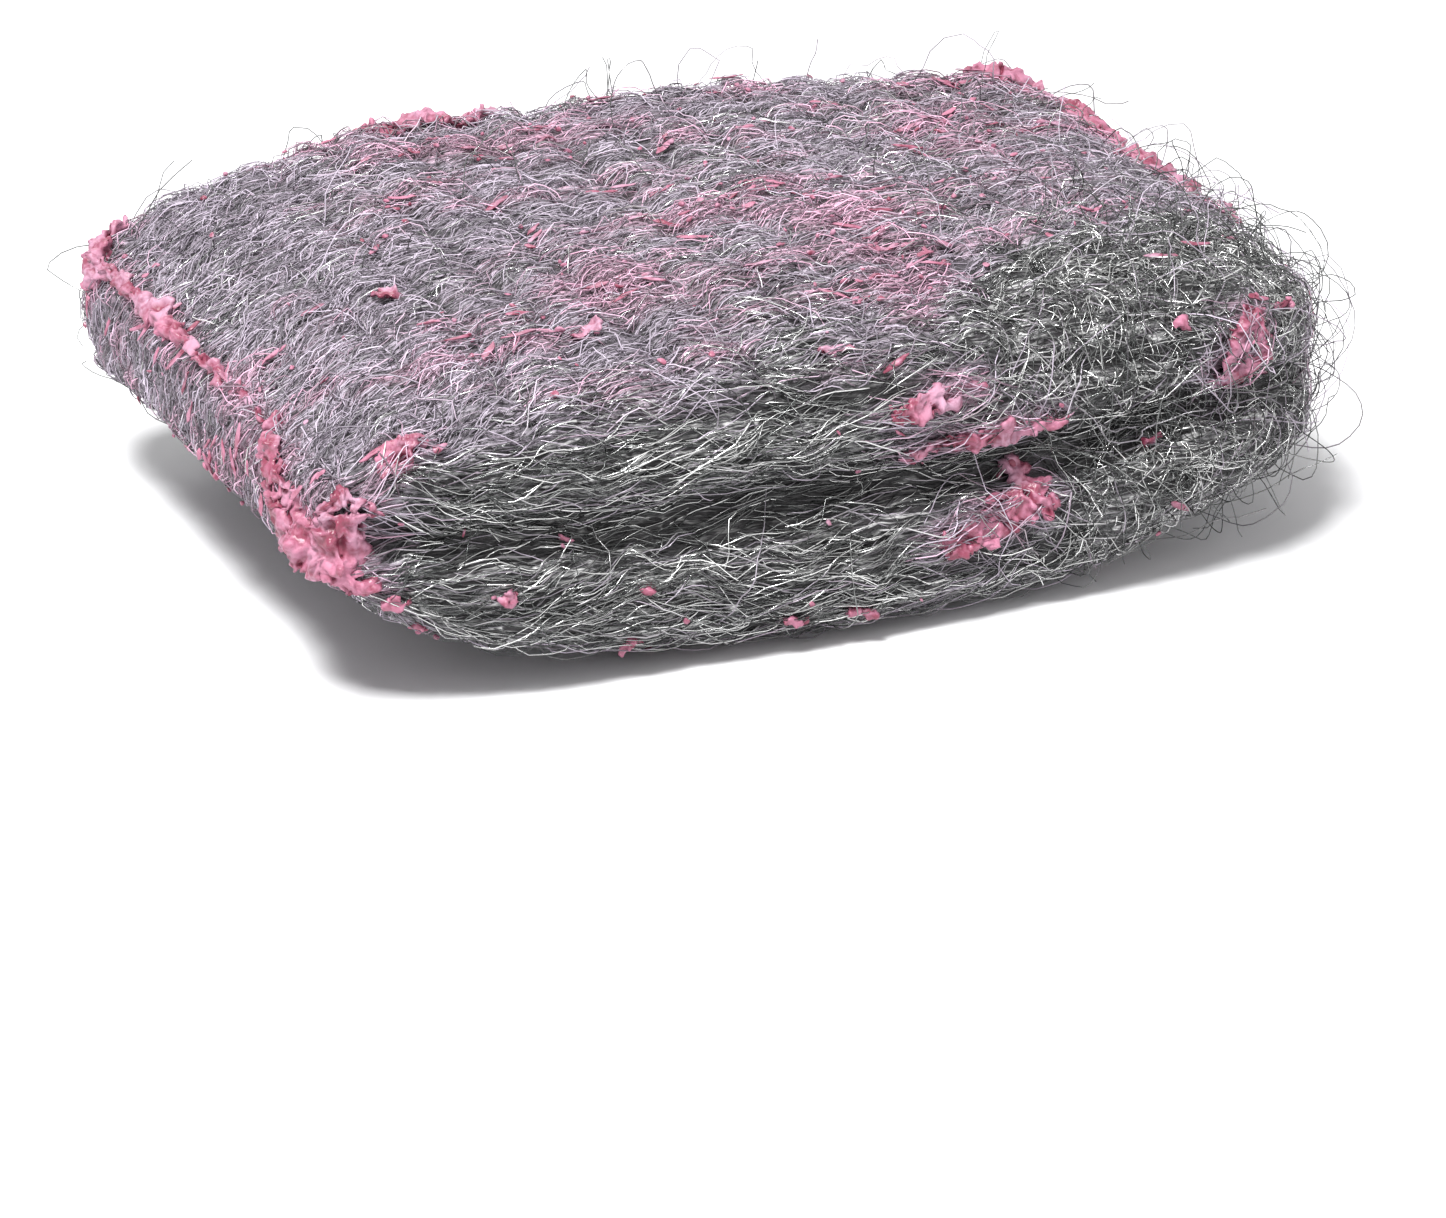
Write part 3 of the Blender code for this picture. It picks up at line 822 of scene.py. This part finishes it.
def loose_tree():
    """Wires that have sprung out of the web: arches, and ends that stand free."""
    tree = growth_tree("Loose wires", WIRE_INPUTS)
    given = tree.inputs
    points, normal = rooted(tree)
    reach = tree.math("POWER", chance(tree, 2), 1.6)
    span = tree.minus(given["Highest"], given["Lowest"])
    reach = tree.math("MULTIPLY_ADD", reach, span, given["Lowest"])
    points = stored(tree, points, "height", reach)
    free_end = tree.math("GREATER_THAN", chance(tree, 3), FREE_END_FROM)
    points = stored(tree, points, "free_end", free_end)
    points = stored(tree, points, "film", tree.times(tree.attribute("film"), 0.4))
    points = stored(tree, points, "pink", 0.0)
    # Brightness shifts each wire's tone, and with it its thickness and its share of painted
    # glint or painted shade.
    tone = tree.times(tree.attribute("tone"), given["Brightness"])
    points = stored(tree, points, "tone", tree.math("MINIMUM", tone, 1.0))
    angle = tree.times(chance(tree, 4, -1.5, 1.5), given["Stray"])
    wires = straight_wires(tree, points, normal, angle)

    here = tree.result("GeometryNodeInputPosition")
    ground, out = ground_under(tree, here)
    factor = tree.add("GeometryNodeSplineParameter").outputs["Factor"]
    back = tree.minus(1.0, factor)
    arch = tree.times(tree.times(factor, back), 4.0)
    open_end = tree.math("POWER", factor, 1.5)
    rise = tree.minus(open_end, arch)
    rise = tree.math("MULTIPLY_ADD", rise, tree.attribute("free_end"), arch)
    lift = tree.times(rise, tree.attribute("height"))
    lift = tree.minus(lift, 0.15 * MM)
    drift = tree.vector("SCALE", LOOSE_SHIFT, tree.attribute("tone"))
    bend = tree.noise(tree.vector("ADD", here, drift), LOOSE_BENDS, 1.0, "Color")
    bend = tree.vector("SUBTRACT", bend, (0.5, 0.5, 0.5))
    amount = tree.math("MINIMUM", tree.math("ADD", rise, 0.1), 1.0)
    amount = tree.times(amount, given["Curl"])
    place = tree.vector("ADD", ground, tree.vector("SCALE", out, lift))
    place = tree.vector("ADD", place, tree.vector("SCALE", bend, amount))
    return finished_wires(tree, wires, place)


def crumb_tree():
    """Small lumps scattered on the skin, each turned and sized by chance."""
    inputs = [
        ("Smallest", "Vector", (0.0002, 0.0002, 0.0001)),
        ("Largest", "Vector", (0.0006, 0.0005, 0.0003)),
        ("Lift", "Float", 0.0004),
        ("Roughness", "Float", 0.0002),
        ("Stray", "Float", 1.0),
        ("Detail", "Int", 2),
    ]
    tree = growth_tree("Soap crumbs", inputs)
    given = tree.inputs
    points, normal = rooted(tree)
    offset = tree.vector("SCALE", normal, given["Lift"])
    lifted = tree.result("GeometryNodeSetPosition", {"Geometry": points, "Offset": offset})
    angle = tree.times(chance(tree, 4, -1.5, 1.5), given["Stray"])
    size = chance(tree, 5, given["Smallest"], given["Largest"], data_type="FLOAT_VECTOR")
    lump = tree.add(
        "GeometryNodeMeshIcoSphere", {"Radius": 1.0, "Subdivisions": given["Detail"]}
    )
    lumps = placed(tree, lifted, normal, angle, lump.outputs["Mesh"], size)
    here = tree.result("GeometryNodeInputPosition")
    bend = tree.vector("SUBTRACT", tree.noise(here, CRUMB_BENDS, 2.0, "Color"), (0.5, 0.5, 0.5))
    bent = tree.vector("ADD", here, tree.vector("SCALE", bend, given["Roughness"]))
    rough = tree.result(
        "GeometryNodeSetPosition", {"Geometry": lumps, "Position": above_floor(tree, bent, 0.0)}
    )
    return finished(tree, rough)


def grown(name, tree, values):
    """A plain piece of what a node tree grows on the wool's skin."""
    ground = linked(name + "_ground", bpy.data.objects[SKIN].data.copy())
    modifier = ground.modifiers.new(tree.name, "NODES")
    modifier.node_group = tree
    for socket in tree.interface.items_tree:
        if socket.name in values and socket.in_out == "INPUT":
            modifier[socket.identifier] = values[socket.name]
    piece = baked_down(ground, name)
    if not piece.data.polygons:
        raise RuntimeError(f"{name}: nothing grew")
    lay_out_faces(piece.data)
    dress(piece)
    return piece


# Materials

# Near-black colour of the painted shade in the gaps and hollows of the deep wool
PAINTED_GAP_SHADE = (0.010, 0.009, 0.010, 1.0)


def coating_group():
    """Steel, dulled by soap film: a colour with painted shade and painted glints, how bare it
    is, and its roughness.
    """
    inputs = [
        ("Tone", "Float", 0.5),
        ("Film", "Float", 0.0),
        ("Pink", "Float", 0.0),
        ("Dark Steel", "Color", (0.05, 0.05, 0.05, 1.0)),
        ("Bright Steel", "Color", (0.5, 0.5, 0.5, 1.0)),
        ("Film Colour", "Color", (0.3, 0.2, 0.3, 1.0)),
        ("Pink Colour", "Color", (0.6, 0.2, 0.3, 1.0)),
    ]
    outputs = [("Colour", "Color"), ("Bare", "Float"), ("Roughness", "Float")]
    tree = Tree.group("Soap-coated steel", "ShaderNodeTree", inputs, outputs)
    given = tree.inputs
    # Painted light: a few bare wires take the glinting steel colour, the rest the steel
    # darkened for shade.
    glint_share = tree.math("POWER", given["Tone"], 2.8)
    steel = tree.mix(glint_share, given["Dark Steel"], given["Bright Steel"])
    shuffled = tree.math("FRACT", tree.times(given["Tone"], COATED_DRAW))
    coated = tree.ramp(tree.minus(given["Film"], shuffled), -0.2, 0.0)
    shade = tree.math("FRACT", tree.times(given["Tone"], SHADE_DRAW))
    held_back = tree.times(tree.math("FRACT", tree.times(shade, HELD_DRAW)), 0.8)
    pink = tree.ramp(tree.minus(given["Pink"], held_back), -0.1, 0.5)
    soapy = tree.mix(pink, given["Film Colour"], given["Pink Colour"])
    # Painted light: each coated wire is made darker or lighter at random, for painted shade and
    # painted highlight.
    lightness = tree.ramp(tree.math("POWER", shade, 1.5), 0.0, 1.0, 0.25, 1.9)
    soapy = tree.vector("SCALE", soapy, lightness)
    tree.feed(tree.outputs["Colour"], tree.mix(coated, steel, soapy))
    tree.feed(tree.outputs["Bare"], tree.minus(1.0, coated))
    tree.feed(tree.outputs["Roughness"], tree.ramp(coated, 0.0, 1.0, 0.26, 0.36))
    return tree.tree


def coating(tree, settings, tone, film, pink):
    """The shared group in a material, with this pad's colours."""
    node = tree.tree.nodes.new("ShaderNodeGroup")
    node.node_tree = bpy.data.node_groups["Soap-coated steel"]
    values = {
        "Tone": tone,
        "Film": film,
        "Pink": pink,
        "Dark Steel": settings.bare_steel_with_painted_shade,
        "Bright Steel": settings.bare_steel_with_painted_glint,
        "Film Colour": settings.film,
        "Pink Colour": settings.pink_film,
    }
    for name, value in values.items():
        tree.feed(node.inputs[name], value)
    return node.outputs


def carried(tree, name):
    """An attribute that the piece's mesh carries, in a material."""
    node = tree.add("ShaderNodeAttribute", attribute_name=name)
    return node.outputs["Fac"]


def strand_material(settings):
    """Fine steel wire, part of it coated with soap."""
    material, tree, shader = new_material("steel strands")
    coat = coating(
        tree, settings, carried(tree, "tone"), carried(tree, "film"), carried(tree, "pink")
    )
    tree.feed(shader.inputs["Base Color"], coat["Colour"])
    tree.feed(shader.inputs["Metallic"], coat["Bare"])
    tree.feed(shader.inputs["Roughness"], coat["Roughness"])
    return material


def wire_streaks(tree, place, stretch):
    """Fine light and dark lines, as of wires that run the way of the stretch."""
    bend = tree.vector("SCALE", tree.noise(place, 330.0, 2.0, "Color"), 1.1 * MM)
    bent = tree.vector("ADD", place, bend)
    lines = tree.vector("MULTIPLY", bent, stretch)
    return tree.noise(lines, 1.0, 2.0)


def roughen(tree, shader, height, strength, depth):
    """Bumps a shader by a height from 0 to 1."""
    sockets = {"Height": height, "Strength": strength, "Distance": depth}
    tree.feed(shader.inputs["Normal"], tree.result("ShaderNodeBump", sockets))


def deep_wool_material(settings):
    """Matted wool below the strands, with finer wires in it, and painted shade between the
    wires, in the gaps between locks and in hollows.
    """
    material, tree, shader = new_material("deep wool")
    place = tree.add("ShaderNodeTexCoord").outputs["Object"]
    flat = wire_streaks(tree, place, (330.0, 4200.0, 4200.0))
    upright = wire_streaks(tree, place, (3600.0, 3600.0, 420.0))
    at_end = carried(tree, "end")
    streaks = tree.math("MULTIPLY_ADD", tree.minus(upright, flat), at_end, flat)
    gaps = tree.noise(tree.vector("MULTIPLY", place, (420.0, 1500.0, 1500.0)), 1.0, 2.0)
    hollow = carried(tree, "hollow")
    tone = tree.ramp(streaks, 0.42, 0.66)
    film = tree.times(carried(tree, "film"), 0.95)
    coat = coating(tree, settings, tone, film, carried(tree, "pink"))
    # Painted light and shade: light drops between the painted wires, in the gaps and in
    # hollows, and the colour mixes there towards the near-black painted shade.
    light = tree.ramp(streaks, 0.38, 0.56, 0.12, 1.15)
    light = tree.times(light, tree.ramp(gaps, 0.38, 0.52, 0.30, 1.0))
    light = tree.times(light, tree.ramp(hollow, 0.05, 0.9, 1.0, 0.18))
    dull = tree.vector("SCALE", coat["Colour"], tree.ramp(coat["Bare"], 0.0, 1.0, 1.1, 0.8))
    shaded = tree.mix(light, PAINTED_GAP_SHADE, dull)
    tree.feed(shader.inputs["Base Color"], shaded)
    tree.feed(shader.inputs["Roughness"], tree.math("ADD", coat["Roughness"], 0.2))
    tree.feed(shader.inputs["Metallic"], tree.times(coat["Bare"], 0.6))
    roughen(tree, shader, tree.math("MULTIPLY_ADD", gaps, 0.8, streaks), 0.9, 0.3 * MM)
    return material


def soap_material(settings):
    """Dried pink soap: crumbly and dull, with glossy places, and a deeper pink painted as shade
    in its pits and low places.
    """
    material, tree, shader = new_material("dried soap")
    place = tree.add("ShaderNodeTexCoord").outputs["Object"]
    coarse = tree.noise(place, 480.0, 3.0)
    fine = tree.noise(place, 2600.0, 3.0)
    blend = tree.math("MULTIPLY_ADD", fine, 0.35, tree.times(coarse, 0.65))
    # Pits and the low places of the bumps take the deep colour: painted shade.
    pit = carried(tree, "pit")
    share = tree.minus(tree.ramp(blend, 0.40, 0.57), tree.times(pit, 0.9))
    share = tree.math("MAXIMUM", share, 0.0)
    faded = tree.ramp(tree.noise(place, 170.0, 2.0), 0.45, 0.62)
    outside = tree.mix(faded, settings.pale, settings.faded)
    colour = tree.mix(share, settings.deep, outside)
    tree.feed(shader.inputs["Base Color"], colour)
    tree.feed(shader.inputs["Roughness"], tree.ramp(coarse, 0.35, 0.65, 0.30, 0.65))
    shader.inputs["Specular IOR Level"].default_value = 0.5
    roughen(tree, shader, blend, 0.7, 0.25 * MM)
    return material


def floor_material(settings):
    """A plain pale floor."""
    material, _, shader = new_material("pale floor")
    shader.inputs["Base Color"].default_value = settings.floor
    shader.inputs["Roughness"].default_value = 0.8
    shader.inputs["Specular IOR Level"].default_value = 0.2
    return material


# Operators


class PAD_OT_wool_body(bpy.types.Operator):
    """Build the matted outside of the folded and crimped wool, under the strands"""

    bl_idname = "wool_pad.wool_body"
    bl_label = "Wool body"

    def execute(self, context):
        settings = context.scene.wool
        coating_group()
        skin = wool_skin(settings)
        skin.data.materials.append(deep_wool_material(settings))
        dress(skin)
        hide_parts("steel_wool_pad")
        return {"FINISHED"}


def grow_wires(tree, rows, values):
    """One piece of wires for each row of sizes. Lengths and heights are in mm."""
    for name, cover, density, lengths, segments, heights, curl, stray, seed in rows:
        given = dict(values)
        given["Cover"] = "cover_" + cover
        given["Density"] = density * PER_MM2
        given["Shortest"], given["Longest"] = (length * MM for length in lengths)
        given["Segments"] = segments
        given["Lowest"], given["Highest"] = (height * MM for height in heights)
        given["Curl"] = curl * MM
        given["Stray"] = stray
        given["Seed"] = seed
        grown(name, tree, given)


class PAD_OT_strands(bpy.types.Operator):
    """Lay crimped strands over every side of the pad"""

    bl_idname = "wool_pad.strands"
    bl_label = "Strands"

    def execute(self, context):
        settings = context.scene.wool
        rows = [
            ("strands_top_low", "top", 1.80, (2.4, 4.8), 4, (0.00, 0.40), 0.45, 1.0, 11),
            ("strands_top_arched", "arches", 1.98, (1.8, 3.8), 4, (0.15, 0.70), 0.50, 1.3, 23),
            ("strands_top_high", "top", 0.40, (2.5, 6.5), 6, (0.30, 0.85), 0.75, 2.6, 29),
            ("strands_front", "front", 3.40, (3.5, 8.0), 6, (0.00, 0.65), 0.40, 1.0, 37),
            ("strands_back", "back", 0.95, (4.0, 9.0), 6, (0.00, 0.65), 0.40, 1.2, 41),
            ("strands_left_end", "left", 3.60, (1.4, 3.4), 4, (0.00, 0.45), 0.30, 1.4, 53),
            ("strands_right_end", "right", 2.40, (2.0, 5.0), 5, (0.00, 0.60), 0.40, 2.0, 67),
            ("strands_base", "base", 0.14, (5.0, 9.0), 6, (0.00, 0.20), 0.40, 1.6, 71),
        ]
        values = {"Wire": settings.wire, "Material": strand_material(settings)}
        grow_wires(strand_tree(), rows, values)
        return {"FINISHED"}


class PAD_OT_loose_wires(bpy.types.Operator):
    """Tangle the sprung corner, and let single wires stand off the pad"""

    bl_idname = "wool_pad.loose_wires"
    bl_label = "Tangle and loose wires"

    def execute(self, context):
        corner = ("tangle_corner", "corner", 2.70, (1.2, 3.2), 5, (0.05, 0.65), 1.9, 1.0, 79)
        loose = ("loose_wires", "loose", 0.36, (4.0, 13.0), 14, (0.60, 4.00), 3.2, 1.0, 83)
        wire = context.scene.wool.wire
        material = bpy.data.materials["steel strands"]
        tree = loose_tree()
        # The tangle gets more of the painted glints, and the loose wires more of the painted
        # shade.
        finer = {"Wire": 0.85 * wire, "Material": material, "Brightness": 1.7}
        grow_wires(tree, [corner], finer)
        thicker = {"Wire": 1.15 * wire, "Material": material, "Brightness": 0.6}
        grow_wires(tree, [loose], thicker)
        return {"FINISHED"}


class PAD_OT_soap_crusts(bpy.types.Operator):
    """Crumble the dried soap on the cut ends and folds"""

    bl_idname = "wool_pad.soap_crusts"
    bl_label = "Soap crusts"

    def execute(self, context):
        settings = context.scene.soap
        material = soap_material(settings)
        for number, node in enumerate(SOAP_NODES):
            shape = merged_shape(node)
            drawn_back = DRAWN_BACK.get(node, LEAST_DRAWN_BACK) * MM
            press_in(shape, drawn_back, settings.press)
            add_crumbs(shape, settings.crumb, np.random.default_rng(SEED + number))
            crust = crumbly_piece(shape, "dressed_" + node, settings, material)
            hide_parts(node)
        crumbly_piece(small_flakes(settings.crumb), "soap_flakes", settings, material)
        return {"FINISHED"}


def crumbly_piece(shape, name, settings, material):
    """A finished piece of dried soap from lumps and crumbs that run into each other."""
    lump = shape_object(shape, name + "_source")
    new_modifier(lump, "REMESH", mode="VOXEL", voxel_size=settings.grid)
    new_modifier(lump, "SMOOTH", factor=0.5, iterations=1)
    piece = baked_down(lump, name)
    crumble(piece.data, settings.grain)
    piece.data.materials.append(material)
    piece.data.shade_smooth()
    dress(piece)
    return piece


def small_flakes(crumb):
    """Clusters of crumbs on the wool, each drawn out along the strands."""
    skin = bpy.data.objects[SKIN]
    random = np.random.default_rng(SEED)
    shape = bmesh.new()
    for *place, length in FLAKES:
        _, ground, out, _ = skin.closest_point_on_mesh(Vector(place) * MM)
        along = Vector((1.0, 0.0, 0.0)) - out * out.x
        side = out.cross(along)
        for _ in range(int(CRUMBS_PER_MM_OF_FLAKE * length)):
            reach, aside = random.normal(0.0, 0.30, 2) * length * MM
            spot = ground + along * reach + side * aside * 0.5 + out * 0.45 * MM
            add_crumb(shape, spot, crumb, random)
    return shape


def add_crumb(shape, place, crumb, random):
    """One crumb of a random size and shape."""
    sizes = crumb * (0.5 + 1.1 * random.random() ** 2) * random.uniform(0.65, 1.35, 3)
    matrix = Matrix.Translation(place) @ Matrix.Diagonal((*sizes, 1.0))
    bmesh.ops.create_icosphere(shape, subdivisions=1, radius=1.0, matrix=matrix)


def press_in(shape, drawn_back, depth):
    """Draws a soap solid back all round, and presses it in, deeper where it breaks off."""
    skin = bpy.data.objects[SKIN]
    shape.normal_update()
    for vertex in shape.verts:
        vertex.co -= vertex.normal * drawn_back
    for vertex in shape.verts:
        _, _, out, _ = skin.closest_point_on_mesh(vertex.co)
        broken = max(0.0, noise.noise(vertex.co / BREAK_SPACING) - 0.05)
        vertex.co -= out * (depth + broken * BREAK_DEPTH)


def add_crumbs(shape, crumb, random):
    """Sticks crumbs of all sizes on a soap solid."""
    faces = list(shape.faces)
    areas = np.array([face.calc_area() for face in faces])
    count = int(areas.sum() * PER_MM2 * CRUMBS_PER_MM2)
    for index in random.choice(len(faces), count, p=areas / areas.sum()):
        corners = [vertex.co for vertex in faces[index].verts]
        weights = random.dirichlet([1.0] * len(corners))
        place = sum((c * w for c, w in zip(corners, weights)), Vector())
        add_crumb(shape, place, crumb, random)


def crumble(mesh, grain):
    """Wrinkles soap, roughens it and eats pits into it."""
    places, normals = points_of(mesh), points_of(mesh, "normal")
    wrinkle = [noise_at(places, 1.3 * MM, offset) for offset in (2.2, 32.2, 62.2)]
    grit = noise_at(places, 0.42 * MM, 4.4)
    pits = ramp(-noise_at(places, 0.9 * MM, 7.7), 0.22, 0.50)
    rise = grain * (0.7 * grit - 1.1 * pits)
    moved = places + normals * rise[:, None] + grain * np.stack(wrinkle, axis=1)
    moved[:, 2] = np.maximum(moved[:, 2], SOAP_OVER_FLOOR)
    move_points(mesh, moved)
    store(mesh, "pit", pits)


class PAD_OT_soap_crumbs(bpy.types.Operator):
    """Scatter soap crumbs and thin chips over the wool"""

    bl_idname = "wool_pad.soap_crumbs"
    bl_label = "Soap crumbs and chips"

    def execute(self, context):
        tree = crumb_tree()
        crumb = context.scene.soap.crumb
        shared = {"Material": bpy.data.materials["dried soap"], "Detail": 2}
        crumbs = {
            **shared,
            "Cover": "cover_crumbs",
            "Density": 0.08 * PER_MM2,
            "Smallest": (0.25 * crumb, 0.2 * crumb, 0.15 * crumb),
            "Largest": (1.1 * crumb, 0.8 * crumb, 0.6 * crumb),
            "Lift": 0.55 * MM,
            "Roughness": 1.3 * crumb,
            "Seed": 91,
        }
        chips = {
            **shared,
            "Cover": "cover_chips",
            "Density": 0.20 * PER_MM2,
            "Smallest": (0.3 * MM, 0.10 * MM, 0.05 * MM),
            "Largest": (1.4 * MM, 0.30 * MM, 0.10 * MM),
            "Lift": 0.50 * MM,
            "Roughness": 0.5 * MM,
            "Stray": 0.4,
            "Seed": 97,
        }
        grown("soap_crumbs", tree, crumbs)
        grown("soap_chips", tree, chips)
        return {"FINISHED"}


class PAD_OT_stage(bpy.types.Operator):
    """Set up the floor, the lamps and the camera"""

    bl_idname = "wool_pad.stage"
    bl_label = "Stage"

    def execute(self, context):
        settings = context.scene.stage
        scene = context.scene
        scene.view_settings.view_transform = "Standard"
        bpy.ops.mesh.primitive_circle_add(vertices=96, radius=FLOOR_RADIUS, fill_type="NGON")
        floor = context.active_object
        floor.name = "floor"
        floor.data.materials.append(floor_material(settings))
        plain_surround(scene, settings)
        lamp("key", place=(-0.22, -0.20, 0.55), size=0.16, power=settings.key)
        lamp("fill", place=(0.45, -0.35, 0.30), size=0.40, power=settings.fill)
        lamp("rim", place=(0.10, 0.50, 0.35), size=0.30, power=settings.fill)
        scene.camera = camera(settings)
        return {"FINISHED"}


def plain_surround(scene, settings):
    """Even light from all round, which shows as white."""
    world = bpy.data.worlds.new("surround")
    world.use_nodes = True
    scene.world = world
    tree = Tree(world.node_tree)
    path = tree.add("ShaderNodeLightPath").outputs
    seen = tree.math("MAXIMUM", path["Is Camera Ray"], path["Is Transmission Ray"])
    seen = tree.math("MAXIMUM", seen, path["Is Glossy Ray"])
    strength = tree.ramp(seen, 0.0, 1.0, settings.sky, 1.0)
    shown = world.node_tree.nodes["Background"]
    shown.inputs["Color"].default_value = (1.0, 1.0, 1.0, 1.0)
    tree.feed(shown.inputs["Strength"], strength)


def lamp(name, place, size, power):
    """A soft square lamp that points at the pad."""
    light = bpy.data.lights.new(name, "AREA")
    light.size = size
    light.energy = power
    holder = linked(name, light)
    holder.location = place
    aim = Vector((0.0, 0.0, PAD_HIGH.z / 2)) - Vector(place)
    holder.rotation_euler = aim.to_track_quat("-Z", "Y").to_euler()


def camera(settings):
    """The photo's view."""
    lens = bpy.data.cameras.new("camera")
    lens.lens = settings.lens
    lens.sensor_width = 36.0
    lens.clip_start = 0.01
    lens.clip_end = 20.0
    turn = Euler((math.pi / 2 - settings.elevation, 0.0, settings.azimuth))
    place = Vector((settings.aim_right, settings.aim_up, settings.distance))
    place.rotate(turn)
    holder = linked("camera", lens)
    holder.location = place
    holder.rotation_euler = turn
    return holder


OPERATORS = (
    PAD_OT_wool_body,
    PAD_OT_strands,
    PAD_OT_loose_wires,
    PAD_OT_soap_crusts,
    PAD_OT_soap_crumbs,
    PAD_OT_stage,
)


class PAD_PT_panel(bpy.types.Panel):
    """Lists the steps that build the pad"""

    bl_idname = "PAD_PT_panel"
    bl_label = "Wool Pad"
    bl_space_type = "VIEW_3D"
    bl_region_type = "UI"
    bl_category = "Wool Pad"

    def draw(self, context):
        for step in OPERATORS:
            self.layout.operator(step.bl_idname)
        scene = context.scene
        for group in (scene.wool, scene.soap, scene.stage):
            for name in type(group).__annotations__:
                self.layout.prop(group, name)


CLASSES = (WoolSettings, SoapSettings, StageSettings, *OPERATORS, PAD_PT_panel)


def register():
    """Makes the settings, operators and panel known."""
    for made in CLASSES:
        bpy.utils.register_class(made)
    bpy.types.Scene.wool = PointerProperty(type=WoolSettings)
    bpy.types.Scene.soap = PointerProperty(type=SoapSettings)
    bpy.types.Scene.stage = PointerProperty(type=StageSettings)


def unregister():
    """Takes them back."""
    del bpy.types.Scene.stage
    del bpy.types.Scene.soap
    del bpy.types.Scene.wool
    for made in reversed(CLASSES):
        bpy.utils.unregister_class(made)


def main():
    """Builds the pad, step by step."""
    for old in list(bpy.context.scene.objects):
        if old.type in ("CAMERA", "LIGHT") or old.name == "Cube":
            bpy.data.objects.remove(old, do_unlink=True)
    register()
    bpy.ops.wool_pad.wool_body()
    bpy.ops.wool_pad.strands()
    bpy.ops.wool_pad.loose_wires()
    bpy.ops.wool_pad.soap_crusts()
    bpy.ops.wool_pad.soap_crumbs()
    bpy.ops.wool_pad.stage()


if __name__ == "__main__":
    main()
